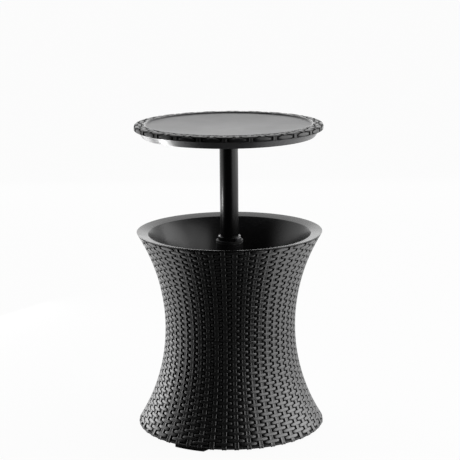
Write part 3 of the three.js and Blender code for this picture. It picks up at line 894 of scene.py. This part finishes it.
@dataclass
class Shells:
    """The woven body in two halves, which meet at the waist."""

    flare: Flare = field(default_factory=Flare)
    drain: DrainLine = field(default_factory=DrainLine)
    phase: float = 3.2
    lower_foot: float = 0.008
    upper_foot: float = 0.2723
    upper_top: float = 0.5268
    row_count: int = 32
    lower_rows: Point = (0.01435, 0.27195)
    upper_rows: Point = (0.2731, 0.5258)
    hem: float = 0.0016
    hem_drop: float = 0.0010
    wall: float = 0.004
    flange_width: float = 0.030
    flange_wall: float = 0.003
    spigot_radius: float = 0.1698
    spigot_wall: float = 0.003
    spigot_foot: float = 0.258
    spigot_top: float = 0.284
    snap_count: int = 6
    snap: Triple = (0.0028, 0.018, 0.005)
    snap_edge: float = 0.0005
    nut_radius: float = 0.015
    pad_radius: float = 0.0195
    pad_edge: float = 0.0006
    drill: Point = (0.15, 0.2)
    wrap: float = 3.4
    wrap_steps: int = 8
    stake_steps: int = 16
    hoop_height: float = 0.0104
    hoop_radius: float = 0.0013
    hoop_inset: float = 0.0013
    hoop_sides: int = 8
    round_steps: int = 144
    side_steps: int = 18

    def build(self) -> None:
        """Both halves."""
        self.build_upper()
        self.build_lower()

    def weave(self, ends: Point) -> Weave:
        """The weave of one half, its rows shared out between two heights."""
        return Weave(self.flare, ends, self.row_count, self.flare.relief, self.phase)

    def outer_side(self, foot: float, top: float) -> list[Point]:
        """The wall's outside: grooves with a hem at each end.

        Args:
            foot: the half's lowest height.
            top: the half's highest height.

        Returns:
            The points, from the foot up.
        """
        hem, drop = self.hem, self.hem_drop
        low, high = foot + hem, top - hem
        return [
            (self.flare.radius(foot) - drop, foot),
            (self.flare.radius(low) - drop, low),
            *self.flare.side(low + hem / 2, high - hem / 2, self.flare.relief, self.side_steps),
            (self.flare.radius(high) - drop, high),
            (self.flare.radius(top) - drop, top),
        ]

    def build_upper(self) -> None:
        """The upper half: wall, ribs and strands."""
        foot, top = self.upper_foot, self.upper_top
        inner = self.flare.side(top, foot, self.wall, self.side_steps)
        wall = spun([*self.outer_side(foot, top), *inner], self.round_steps)
        Piece("upper_wall", "tub_body", Finish.WALL, ("upper_shell",)).publish(wall)
        weave = self.weave(self.upper_rows)
        stakes = weave.stakes(shared(foot + self.hem / 2, top - self.hem / 2, self.stake_steps))
        Piece("upper_stakes", "tub_body", Finish.WOVEN, ("upper_shell",), STAKE_ANGLE).publish(stakes)
        strands = weave.strands()
        Piece("upper_strands", "tub_body", Finish.WOVEN, ("upper_shell",), STRAND_ANGLE).publish(strands)

    def build_lower(self) -> None:
        """The lower half: wall, ribs, strands and the hoop round the foot."""
        self.build_lower_wall()
        weave = self.weave(self.lower_rows)
        foot_line = self.flare.foot_line
        wrap = shared(foot_line - self.wrap * self.flare.foot_scale, foot_line, self.wrap_steps)
        side = shared(foot_line, self.flare.waist_height - self.hem / 2, self.stake_steps)
        stakes = weave.stakes([*wrap[:-1], *side])
        Piece("lower_stakes", "tub_body", Finish.WOVEN, ("lower_shell",), STAKE_ANGLE).publish(stakes)
        strands = weave.strands()
        self.clear_pad(strands)
        Piece("lower_strands", "tub_body", Finish.WOVEN, ("lower_shell",), STRAND_ANGLE).publish(strands)
        # The hoop's pale colour is a painted highlight along the foot.
        Piece("lower_hoop", "tub_body", Finish.HOOP, ("lower_shell",)).publish(self.hoop())

    def build_lower_wall(self) -> None:
        """The lower wall, with the spigot that the upper half sits on and the drain's pad."""
        top, foot = self.flare.waist_height, self.lower_foot
        edge = self.flare.radius(foot) - self.flange_width
        spigot_bore = self.spigot_radius - self.spigot_wall
        flange_top = foot + self.flange_wall
        outline = [
            *self.outer_side(foot, top),
            (self.spigot_radius, top),
            (self.spigot_radius, self.spigot_top),
            (spigot_bore, self.spigot_top),
            (spigot_bore, self.spigot_foot),
            *self.flare.side(self.spigot_foot - self.spigot_wall, flange_top, self.wall, self.side_steps),
            (edge, flange_top),
            (edge, foot),
        ]
        wall = spun(outline, self.round_steps)
        piece = Piece("lower_wall", "tub_body", Finish.WALL, ("lower_shell",)).publish(wall)
        cut_by(piece, self.pad(), "UNION")
        cut_by(piece, self.drain.drill(*self.drill))
        cut_by(piece, self.snaps(), "UNION")

    def hoop(self) -> bmesh.types.BMesh:
        """The thin hoop round the foot.

        Returns:
            The mesh.
        """
        middle = self.flare.radius(self.hoop_height) - self.hoop_inset
        turns = shared(0.0, 2 * math.pi, self.hoop_sides)[:-1]
        ring = [(middle + self.hoop_radius * math.cos(turn),
                 self.hoop_height + self.hoop_radius * math.sin(turn)) for turn in turns]
        return spun(ring, self.round_steps)

    def pad(self) -> bmesh.types.BMesh:
        """The smooth flat pad that the drain's nut sits on.

        Returns:
            The mesh.
        """
        root = self.flare.radius(self.drain.height) - self.wall
        face = self.flare.radius(self.drain.height - self.nut_radius)
        mesh = self.drain.rod(self.pad_radius, root, face)
        softened(mesh, self.pad_edge)
        return mesh

    def snaps(self) -> bmesh.types.BMesh:
        """The lugs on the spigot.

        Returns:
            The mesh.
        """
        height = (self.flare.waist_height + self.spigot_top) / 2
        mesh = block((self.spigot_radius, 0, height), self.snap)
        softened(mesh, self.snap_edge)
        copied_round(mesh, self.snap_count)
        return mesh

    def clear_pad(self, mesh: bmesh.types.BMesh) -> None:
        """Takes away the strands that the drain's pad stands on.

        Args:
            mesh: the strands' mesh.
        """
        middle = Vector((0, self.flare.radius(self.drain.height), self.drain.height))
        seen: set[bmesh.types.BMVert] = set()
        doomed: list[bmesh.types.BMVert] = []
        for vert in mesh.verts:
            if vert in seen or (vert.co - middle).length > 2 * self.pad_radius:
                continue
            island, queue = [], [vert]
            seen.add(vert)
            while queue:
                here = queue.pop()
                island.append(here)
                fresh = [edge.other_vert(here) for edge in here.link_edges]
                fresh = [other for other in fresh if other not in seen]
                seen.update(fresh)
                queue.extend(fresh)
            centre = sum((corner.co for corner in island), Vector()) / len(island)
            if (centre - middle).length < self.pad_radius:
                doomed.extend(island)
        bmesh.ops.delete(mesh, geom=doomed, context="VERTS")


@dataclass
class Feet:
    """The three low feet, with their edges rounded."""

    names: tuple[str, ...] = ("foot_front", "foot_right", "foot_rear")
    edge: float = 0.0009

    def build(self) -> None:
        """The feet."""
        for name in self.names:
            mesh = cad_copy(name)
            softened(mesh, self.edge)
            Piece(f"{name}_pad", "tub_body", Finish.INNER, (name,)).publish(mesh)


@dataclass
class Tub:
    """The ice tub with its sloping rim, and the chimney that the column passes up."""

    flare: Flare = field(default_factory=Flare)
    drain: DrainLine = field(default_factory=DrainLine)
    rim_height: float = 0.5304
    flange_width: float = 0.0308
    flange_drop: float = 0.0066
    flange_edge: float = 0.0033
    flange_wall: float = 0.0028
    wall: float = 0.0025
    shell_wall: float = 0.004
    floor: float = 0.214
    fillet: float = 0.010
    waist: float = 0.1613
    draft: float = 0.001
    locator_height: float = 0.008
    locator_wall: float = 0.0025
    gap: float = 0.0003
    mouth_round: float = 0.0022
    rim_round: float = 0.0011
    land_round: float = 0.0006
    edge_round: float = 0.0005
    chimney_bore: float = 0.0333
    chimney_radius: float = 0.0358
    chimney_foot: float = 0.0383
    chimney_top: float = 0.499
    chimney_round: float = 0.0008
    flange_radius: float = 0.0503
    flange_low: float = 0.2166
    flange_high: float = 0.2191
    flange_fillet: float = 0.003
    flange_round: float = 0.001
    spigot_end: float = 0.2075
    pad_radius: float = 0.017
    pad_inset: float = 0.0014
    pad_short: float = 0.0002
    drill_inside: float = 0.01
    drill_outside: float = 0.02
    side_steps: int = 12
    corner_steps: int = 5
    round_steps: int = 144
    chimney_steps: int = 96

    def build(self) -> None:
        """The tub and its chimney."""
        self.build_tub()
        self.build_chimney()

    def bend(self) -> float:
        """The height at which the tub's side starts to flare.

        Returns:
            The height.
        """
        mouth = self.flare.radius(self.rim_height) - self.flange_width
        rise = mouth - self.waist
        arc = self.flare.arc_radius
        return self.rim_height - self.flange_drop - math.sqrt(arc ** 2 - (arc - rise) ** 2)

    def side(self, start: float, end: float, offset: float) -> list[Triple]:
        """Corners up the tub's side.

        Args:
            start: the first height.
            end: the last height.
            offset: how far outside the inner face they lie.

        Returns:
            The corners.
        """
        bend, arc = self.bend(), self.flare.arc_radius
        return [(self.waist + offset + arc - math.sqrt(arc ** 2 - (height - bend) ** 2), height, 0)
                for height in shared(start, end, self.side_steps)]

    def build_tub(self) -> None:
        """The tub, from its floor to its rim."""
        rim = self.flare.radius(self.rim_height)
        land = self.rim_height - self.flange_edge
        shell_top = land - self.gap
        locator_top = self.flare.radius(shell_top) - self.shell_wall - self.gap
        foot = shell_top - self.locator_height
        locator_foot = self.flare.radius(foot) - self.shell_wall - self.gap
        locator_bore = locator_top - self.locator_wall
        slope = self.flange_drop / self.flange_width
        under = self.rim_height - self.flange_wall
        *inner_side, mouth = self.side(self.bend(), self.rim_height - self.flange_drop, 0)
        outer_side = self.side(under - self.flange_drop + self.wall * slope, self.bend(), self.wall)
        hole = self.chimney_radius + self.gap
        corner = self.waist - self.draft
        outline = [
            (hole, self.floor, 0),
            (corner, self.floor, self.fillet),
            *inner_side,
            (*mouth[:2], self.mouth_round),
            (rim, self.rim_height, self.rim_round),
            (self.flare.radius(land), land, self.land_round),
            (locator_top, land, 0),
            (locator_foot, foot, self.edge_round),
            (locator_foot - self.locator_wall, foot, self.edge_round),
            (locator_bore, under - slope * (rim - locator_bore), 0),
            *outer_side,
            (corner + self.wall, self.floor - self.wall, self.fillet + self.wall),
            (hole, self.floor - self.wall, 0),
        ]
        mesh = spun(rounded(outline, self.corner_steps), self.round_steps)
        piece = Piece("tub_liner", "tub_body", Finish.TUB, ("ice_tub",)).publish(mesh)
        face = self.waist - self.pad_inset
        pad = self.drain.rod(self.pad_radius, face, self.waist + self.wall - self.pad_short)
        cut_by(piece, pad, "UNION")
        cut_by(piece, self.drain.drill(face - self.drill_inside, self.waist + self.drill_outside))

    def build_chimney(self) -> None:
        """The sleeve in the middle of the tub, with its foot flange."""
        outline = [
            (self.chimney_bore, self.chimney_top, self.chimney_round),
            (self.chimney_radius, self.chimney_top, self.chimney_round),
            (self.chimney_foot, self.flange_high, self.flange_fillet),
            (self.flange_radius, self.flange_high, self.flange_round),
            (self.flange_radius, self.flange_low, self.edge_round),
            (self.chimney_radius, self.flange_low, 0),
            (self.chimney_radius, self.spigot_end, self.edge_round),
            (self.chimney_bore, self.spigot_end, self.edge_round),
        ]
        mesh = spun(rounded(outline), self.chimney_steps)
        Piece("tub_sleeve", "tub_body", Finish.TUB, ("tub_chimney",)).publish(mesh)


# Post and collar


@dataclass
class Post:
    """The telescopic post, the bush that it slides in and the collar that grips it."""

    radius: float = 0.0244
    wall: float = 0.003
    foot: float = 0.4035
    top: float = 0.8048
    tube_round: float = 0.0006
    bore: float = 0.0247
    guide_radius: float = 0.0297
    flange_radius: float = 0.0358
    bush_foot: float = 0.4506
    flange_foot: float = 0.502
    flange_top: float = 0.505
    flange_round: float = 0.0006
    flange_crown: float = 0.0010
    finger_radius: float = 0.0266
    finger_top: float = 0.5132
    fine_round: float = 0.0004
    collar_bore: float = 0.0269
    collar_radius: float = 0.030
    collar_foot: float = 0.5053
    collar_top: float = 0.5155
    collar_round: float = 0.0008
    collar_crown: float = 0.0022
    lip: float = 0.002
    lip_round: float = 0.0006
    lip_edge: float = 0.0003
    ear_width: float = 0.020
    ear_reach: float = 0.0069
    ear_height: float = 0.009
    ear_sink: float = 0.0015
    ear_corner: float = 0.004
    ear_corner_steps: int = 6
    ear_edge: float = 0.0012
    ear_edge_steps: int = 3
    ear_bearing: float = 45.0
    ear_angle: float = 40.0
    bush_steps: int = 3
    round_steps: int = 96

    def build(self) -> None:
        """The post, the bush and the collar."""
        self.build_tube()
        self.build_bush()
        self.build_collar()

    def build_tube(self) -> None:
        """The post itself."""
        inner = self.radius - self.wall
        ends = ((self.radius, self.foot), (self.radius, self.top), (inner, self.top), (inner, self.foot))
        mesh = spun(rounded([(*end, self.tube_round) for end in ends]), self.round_steps)
        Piece("post_tube", "table", Finish.POST, ("post",)).publish(mesh)

    def build_bush(self) -> None:
        """The bush in the column's mouth, with the fingers that the collar squeezes."""
        outline = [
            (self.bore, self.bush_foot, self.fine_round),
            (self.guide_radius, self.bush_foot, self.fine_round),
            (self.guide_radius, self.flange_foot, 0),
            (self.flange_radius, self.flange_foot, self.flange_round),
            (self.flange_radius, self.flange_top, self.flange_crown),
            (self.finger_radius, self.flange_top, 0),
            (self.finger_radius, self.finger_top, self.fine_round),
            (self.bore, self.finger_top, self.fine_round),
        ]
        mesh = spun(rounded(outline, self.bush_steps), self.round_steps)
        Piece("bush", "tub_body", Finish.INNER, ("post_bushing",)).publish(mesh)

    def build_collar(self) -> None:
        """The gripping collar: a ring with an inward lip, and its thumb ear."""
        lip_foot = self.collar_top - self.lip
        outline = [
            (self.collar_bore, self.collar_foot, self.fine_round),
            (self.collar_radius, self.collar_foot, self.collar_round),
            (self.collar_radius, self.collar_top, self.collar_crown),
            (self.bore, self.collar_top, self.lip_round),
            (self.bore, lip_foot, self.lip_edge),
            (self.collar_bore, lip_foot, 0),
        ]
        mesh = spun(rounded(outline), self.round_steps)
        Piece("grip_collar", "collar", Finish.POST, ("lock_collar",)).publish(mesh)
        # The ear's pale finish is a painted highlight on its lit face.
        Piece("grip_ear", "collar", Finish.EAR, ("lock_collar",)).publish(self.ear())

    def ear(self) -> bmesh.types.BMesh:
        """The thumb ear, rounded all over, with its inner end inside the ring.

        Returns:
            The mesh.
        """
        inside = self.collar_bore + self.ear_sink
        outside = self.collar_radius + self.ear_reach
        middle = Vector((0, -(inside + outside) / 2, self.collar_foot + self.ear_height / 2))
        mesh = block(middle, (self.ear_width, outside - inside, self.ear_height))
        outer = [edge for edge in mesh.edges if all(vert.co.y < middle.y for vert in edge.verts)]
        upright = [edge for edge in outer if edge.verts[0].co.z != edge.verts[1].co.z]
        bmesh.ops.bevel(mesh, geom=upright, offset=self.ear_corner, segments=self.ear_corner_steps,
                        profile=0.5, affect="EDGES", material=-1)
        softened(mesh, self.ear_edge, self.ear_angle, self.ear_edge_steps)
        bmesh.ops.rotate(mesh, verts=mesh.verts, cent=(0, 0, 0),
                         matrix=Matrix.Rotation(math.radians(self.ear_bearing), 3, "Z"))
        return mesh


# Table top


@dataclass
class Top:
    """The round top: a smooth recessed disc in a woven rim, over a coned underside."""

    rim: RimPath = field(default_factory=RimPath)
    phase: float = -2.5
    radius: float = 0.2475
    height: float = 0.816
    foot: float = 0.8017
    inner_radius: float = 0.219
    disc_height: float = 0.8124
    disc_under: float = 0.8092
    wall: float = 0.0032
    row_ends: Point = (0.0002, 0.0348)
    row_count: int = 4
    row_fill: float = 0.47
    relief: float = 0.0025
    stake_width: float = 0.0110
    strand_taper: float = 0.42
    strand_waver: float = 0.0002
    stake_overhang: float = 0.0004
    stake_steps: int = 24
    lip_width: float = 0.0019
    lip_draft: float = 0.0011
    lip_foot_round: float = 0.0016
    lip_inner_round: float = 0.0009
    lip_outer_round: float = 0.0006
    slip: float = 0.0003
    bead_top: float = 0.0018
    bead_edge: Point = (0.0006, 0.0016)
    bead_edge_round: float = 0.0005
    bead_foot: float = 0.0008
    bead_foot_round: float = 0.0007
    hollow_drop: float = 0.0045
    hollow_slope: float = 0.003
    bottom: float = 0.783
    skirt_radius: float = 0.226
    shoulder_radius: float = 0.238
    shoulder: float = 0.8002
    side_round: float = 0.0030
    lip_radius: float = 0.2440
    lip_top: float = 0.8062
    dish_wall: float = 0.003
    dish_bottom: float = 0.7865
    dish_top: float = 0.7895
    dish_edge: float = 0.005
    dish_recess: float = 0.0035
    dish_round: float = 0.001
    edge_round: float = 0.0005
    bore: float = 0.0247
    bore_round: float = 0.0008
    foot_round: float = 0.0015
    round_steps: int = 192

    def build(self) -> None:
        """The disc, the woven rim and the underside."""
        self.build_disc()
        self.build_lip()
        self.build_rim_wall()
        self.build_rim()
        self.build_underside()

    def publish(self, name: str, finish: Finish, node: str, outline: Sequence[Triple],
                closed: bool = True) -> None:
        """Spins an outline and publishes it on the table.

        Args:
            name: the piece's name.
            finish: its finish.
            node: the CAD node that it stands for.
            outline: radius, height and corner radius of each corner.
            closed: whether the outline is joined end to start.
        """
        mesh = spun(rounded(outline), self.round_steps, closed)
        Piece(name, "table", finish, (node,)).publish(mesh)

    def build_disc(self) -> None:
        """The disc, from its middle out to its edge and back underneath."""
        inner = self.inner_radius
        self.publish("top_disc", Finish.DISC, "table_top", [
            (0, self.disc_height, 0),
            (inner, self.disc_height, 0),
            (inner + self.wall, self.height - self.wall, 0),
            (inner - self.lip_draft, self.disc_under, 0),
            (0, self.disc_under, 0),
        ], closed=False)

    def build_lip(self) -> None:
        """The raised lip round the disc."""
        inner, draft, under = self.inner_radius, self.lip_draft, self.height - self.wall
        outer = inner + self.lip_width
        self.publish("top_lip", Finish.LIP, "table_top", [
            (inner - 2 * draft, self.disc_height, 0),
            (inner - draft, self.disc_height + self.slip, self.lip_foot_round),
            (inner, self.height, self.lip_inner_round),
            (outer, self.height, self.lip_outer_round),
            (outer + draft, self.rim.top, 0),
            (outer + draft, under, 0),
            (inner, self.disc_under, 0),
        ])

    def build_rim_wall(self) -> None:
        """The rim's grooved wall, which the stakes and strands stand on, with a bead at its foot."""
        side, top, inside = self.rim.side_radius, self.rim.top, self.lip_radius + self.slip
        edge = self.inner_radius + self.lip_width + self.lip_draft
        under = self.height - self.wall
        bead_in, bead_up = self.bead_edge
        self.publish("rim_wall", Finish.RIM_WALL, "table_top", [
            (edge, top, 0),
            (side, top, self.rim.corner),
            (side, self.foot + self.bead_top, 0),
            (self.radius - bead_in, self.foot + bead_up, self.bead_edge_round),
            (self.radius - self.bead_foot, self.foot, self.bead_foot_round),
            (inside, self.foot, 0),
            (inside, self.height - self.hollow_drop, 0),
            (inside - self.hollow_slope, under, 0),
            (edge, under, 0),
        ])

    def build_rim(self) -> None:
        """The rim's stakes and strands."""
        weave = Weave(self.rim, self.row_ends, self.row_count, self.relief, self.phase, self.row_fill,
                      stake_width=self.stake_width, stake_radius=self.rim.side_radius,
                      taper=self.strand_taper, waver=self.strand_waver)
        stakes = weave.stakes(shared(0.0, self.row_ends[1] + self.stake_overhang, self.stake_steps))
        Piece("rim_stakes", "table", Finish.RIM, ("table_top",), STAKE_ANGLE).publish(stakes)
        strands = weave.strands()
        Piece("rim_strands", "table", Finish.RIM, ("table_top",), STRAND_ANGLE).publish(strands)

    def build_underside(self) -> None:
        """The smooth coned cover under the top."""
        wall, inner_lip = self.dish_wall, self.lip_radius - self.dish_wall
        ledge = self.shoulder + wall
        rim_foot = self.skirt_radius - self.dish_edge
        self.publish("top_underside", Finish.SMOOTH, "table_underside", [
            (self.skirt_radius, self.bottom, self.side_round),
            (self.shoulder_radius, self.shoulder, self.side_round),
            (self.lip_radius, self.shoulder + wall / 4, self.edge_round),
            (self.lip_radius, self.lip_top, self.edge_round),
            (inner_lip, self.lip_top, self.edge_round),
            (inner_lip, ledge, 0),
            (self.shoulder_radius - wall / 2, ledge, self.dish_round),
            (self.skirt_radius - wall / 2, self.dish_top, self.dish_round),
            (self.bore, self.dish_top, 0),
            (self.bore, self.dish_bottom, self.bore_round),
            (rim_foot - self.dish_recess, self.dish_bottom, self.side_round),
            (rim_foot, self.bottom, self.foot_round),
        ])


# Drain


@dataclass
class Drain:
    """The drain at the back: a spout, its nut and a rubber plug."""

    line: DrainLine = field(default_factory=DrainLine)
    bore: float = 0.0065
    radius: float = 0.010
    flange_radius: float = 0.014
    flange_wall: float = 0.002
    mouth_round: float = 0.0005
    flange_round: float = 0.0008
    tip_round: float = 0.0008
    end_round: float = 0.0006
    nut_edge: float = 0.0007
    plug_head: float = 0.011
    plug_wall: float = 0.0036
    plug_depth: float = 0.008
    plug_crown: float = 0.0012
    slip: float = 0.0003
    tab: Triple = (0.014, 0.012, 0.0032)
    tab_edge: float = 0.0013
    tab_edge_steps: int = 3
    edge_angle: float = 40.0
    round_steps: int = 48

    def build(self) -> None:
        """The spout, the nut and the plug, at the places that the CAD spout gives."""
        low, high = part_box("drain_spout")
        self.build_spout(low.y, high.y)
        nut = cad_copy("drain_nut")
        softened(nut, self.nut_edge, self.edge_angle)
        Piece("drain_hex", "tub_body", Finish.INNER, ("drain_nut",)).publish(nut)
        self.build_plug(high.y + self.slip)

    def laid(self, outline: Sequence[Triple]) -> bmesh.types.BMesh:
        """Spins an outline and lays it along the drain.

        Args:
            outline: radius, distance behind the axis and corner radius of each corner.

        Returns:
            The mesh.
        """
        mesh = spun(rounded(outline), self.round_steps)
        bmesh.ops.rotate(mesh, verts=mesh.verts, cent=(0, 0, 0),
                         matrix=Matrix.Rotation(-math.pi / 2, 3, "X"))
        bmesh.ops.translate(mesh, verts=mesh.verts, vec=(0, 0, self.line.height))
        return mesh

    def build_spout(self, start: float, end: float) -> None:
        """The spout, with its flange inside the tub.

        Args:
            start: how far behind the axis it starts.
            end: how far behind the axis it ends.
        """
        flange = start + self.flange_wall
        spout = self.laid([
            (self.bore, start, self.mouth_round),
            (self.flange_radius, start, self.flange_round),
            (self.flange_radius, flange, self.mouth_round),
            (self.radius, flange, 0),
            (self.radius, end, self.end_round),
            (self.bore, end, self.end_round),
        ])
        Piece("drain_pipe", "tub_body", Finish.INNER, ("drain_spout",)).publish(spout)

    def build_plug(self, face: float) -> None:
        """The plug and the tab that pulls it.

        Args:
            face: how far behind the axis its head starts.
        """
        stem, tip, back = self.bore - self.slip, face - self.plug_depth, face + self.plug_wall
        plug = self.laid([
            (0, tip, 0),
            (stem, tip, self.tip_round),
            (stem, face, 0),
            (self.plug_head, face, self.end_round),
            (self.plug_head, back, self.plug_crown),
            (0, back, 0),
        ])
        piece = Piece("drain_bung", "plug", Finish.RUBBER, ("drain_plug",)).publish(plug)
        width, reach, thickness = self.tab
        start, end = back - self.plug_wall / 2, back + reach
        tab = block((0, (start + end) / 2, self.line.height), (width, end - start, thickness))
        softened(tab, self.tab_edge, self.edge_angle, self.tab_edge_steps)
        cut_by(piece, tab, "UNION")


# Hidden parts keep their CAD shapes


def dress_cad(record: dict[str, Any]) -> None:
    """Gives every CAD node that stays in view the first finish of its slot.

    Args:
        record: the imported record.
    """
    by_slot = {finish.slot: finish for finish in reversed(Finish)}
    for part in record["subparts"]:
        node = bpy.data.objects[part["node"]]
        if node.hide_render:
            continue
        node.data.materials.clear()
        node.data.materials.append(by_slot[part["material_slot"]].material())
        log.info("%s keeps its CAD shape", node.name)


# Stage


@dataclass(frozen=True)
class SoftBox:
    """A soft box that faces the table's axis. A level of 1 looks white."""

    name: str
    bearing: float
    distance: float
    height: float
    size: Point
    level: float
    aim: float = 0.42

    def build(self) -> None:
        """The lamp, unseen by the camera itself."""
        data = bpy.data.lights.new(self.name, "AREA")
        data.shape = "RECTANGLE"
        data.size, data.size_y = self.size
        data.energy = self.level * math.pi * self.size[0] * self.size[1]
        lamp = bpy.data.objects.new(self.name, data)
        place = on_circle(self.distance, self.bearing, self.height)
        way = Vector((0, 0, self.aim)) - place
        lamp.matrix_world = Matrix.Translation(place) @ way.to_track_quat("-Z", "Y").to_matrix().to_4x4()
        lamp.visible_camera = False
        bpy.context.scene.collection.objects.link(lamp)


@dataclass
class Studio:
    """The floor, the lamps, the surroundings and the camera at the photograph's place.

    The room and the floor are white behind the table and dark on the camera's side. Only reflections
    and the light on the object see the dark: the camera sees white all round.
    """

    distance: float = 3.8401
    eye_height: float = 1.3575
    pitch: float = 0.2122
    roll: float = -0.0088
    focal_px: float = 1483.1
    frame_px: float = 460.0
    centre_px: float = 229.4576
    sensor: float = 36.0
    view_end: float = 200.0
    floor_size: float = 60.0
    floor_glow: float = 0.95
    floor_pale: Colour = (0.85, 0.85, 0.85, 1.0)
    floor_dark: Colour = (0.02, 0.02, 0.02, 1.0)
    white: Colour = (1.0, 1.0, 1.0, 1.0)
    dark: float = 0.01
    away: Triple = (0.11, 0.97, -0.2)
    floor_span: Point = (-0.57, -0.07)
    room_span: Point = (-0.50, 0.40)
    boxes: tuple[SoftBox, ...] = (
        SoftBox("key_box", bearing=54.0, distance=2.8, height=1.1, size=(1.8, 2.2), level=1.35),
        SoftBox("side_box", bearing=98.0, distance=2.8, height=1.05, size=(2.5, 1.6), level=1.5),
        SoftBox("left_box", bearing=-126.0, distance=1.3, height=0.16, size=(1.3, 0.3), level=2.6, aim=0.3),
        SoftBox("back_box", bearing=180.0, distance=3.6, height=0.9, size=(4.0, 1.5), level=0.8),
        SoftBox("top_box", bearing=150.0, distance=0.6, height=3.2, size=(1.8, 1.8), level=1.4),
        SoftBox("low_box", bearing=-90.0, distance=0.34, height=0.555, size=(0.08, 0.15), level=18.0,
                aim=3.0),
    )

    def build(self) -> None:
        """Everything round the object."""
        bpy.context.scene.view_settings.view_transform = "Standard"
        self.build_camera()
        self.build_floor()
        self.build_world()
        for box in self.boxes:
            box.build()

    def build_camera(self) -> None:
        """The camera, placed as worked out from the photograph's ellipses."""
        data = bpy.data.cameras.new("camera")
        data.sensor_width = self.sensor
        data.lens = self.focal_px * self.sensor / self.frame_px
        data.shift_x = (self.frame_px / 2 - self.centre_px) / self.frame_px
        data.clip_end = self.view_end
        up = Vector((0, math.sin(self.pitch), math.cos(self.pitch)))
        ahead = Vector((0, math.cos(self.pitch), -math.sin(self.pitch)))
        right = Vector((1, 0, 0))
        cosine, sine = math.cos(self.roll), math.sin(self.roll)
        turned_right = right * cosine + up * sine
        turned_up = up * cosine - right * sine
        camera = bpy.data.objects.new("camera", data)
        turn = Matrix((turned_right, turned_up, -ahead)).transposed().to_4x4()
        camera.matrix_world = Matrix.Translation((0, -self.distance, self.eye_height)) @ turn
        bpy.context.scene.collection.objects.link(camera)
        bpy.context.scene.camera = camera

    def build_floor(self) -> None:
        """A pale floor that shows white and keeps a soft shadow."""
        mesh = bmesh.new()
        bmesh.ops.create_grid(mesh, x_segments=2, y_segments=2, size=self.floor_size)
        data = bpy.data.meshes.new("floor")
        mesh.to_mesh(data)
        mesh.free()
        shader = Shader.of_material("floor_white")
        place = shader.node("ShaderNodeTexCoord", None, "Object")
        way = shader.node("ShaderNodeVectorMath", {"operation": "NORMALIZE"}, _0=place)
        share = self.share(shader, way, self.floor_span)
        seen = self.seen(shader, share)
        tone = shader.blend((share + seen).held(), self.floor_dark, self.floor_pale)
        matt = shader.node("ShaderNodeBsdfDiffuse", Color=tone)
        glow = shader.node("ShaderNodeEmission", Color=self.white, Strength=1.0)
        mixed = shader.node("ShaderNodeMixShader", _0=seen * self.floor_glow, _1=matt, _2=glow)
        data.materials.append(shader.close(mixed))
        floor = bpy.data.objects.new("floor", data)
        bpy.context.scene.collection.objects.link(floor)

    def build_world(self) -> None:
        """White surroundings, darker on the camera's side of the room."""
        shader = Shader(bpy.data.worlds.new("room"))
        way = shader.node("ShaderNodeTexCoord", None, "Generated")
        share = self.share(shader, way, self.room_span)
        seen = self.seen(shader, share)
        level = seen + (1 - seen) * share
        back = shader.node("ShaderNodeBackground", Color=self.white, Strength=level)
        bpy.context.scene.world = shader.close(back, "ShaderNodeOutputWorld")

    def share(self, shader: Shader, way: Wire, span: Point) -> Wire:
        """How white the room is: dark on the camera's side, white behind the table.

        Args:
            shader: the floor's or the room's tree.
            way: the direction from the middle of the table.
            span: where the dark ends and where the white starts, going away from the camera.

        Returns:
            The share, from dark to white.
        """
        toward = shader.node("ShaderNodeVectorMath", {"operation": "DOT_PRODUCT"}, "Value",
                             _0=way, _1=self.away)
        return shader.ramp(toward, *span, low=self.dark)

    @staticmethod
    def seen(shader: Shader, share: Wire) -> Wire:
        """1 for rays from the camera and through clear matter, and the white share for those off gloss.

        Args:
            shader: the floor's or the room's tree.
            share: how white the room is.

        Returns:
            The share of white.
        """
        camera, clear, gloss = [shader.node("ShaderNodeLightPath", None, f"Is {ray} Ray") for ray in
                                ("Camera", "Transmission", "Glossy")]
        return (camera + clear + gloss * share).held()


def main() -> None:
    """Loads the frame, then builds every part round it."""
    logging.basicConfig(level=logging.INFO, format="%(message)s")
    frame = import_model()
    Studio().build()
    for part in (Shells(), Feet(), Tub(), Post(), Top(), Drain()):
        part.build()
    dress_cad(frame["record"])


if __name__ == "__main__":
    main()
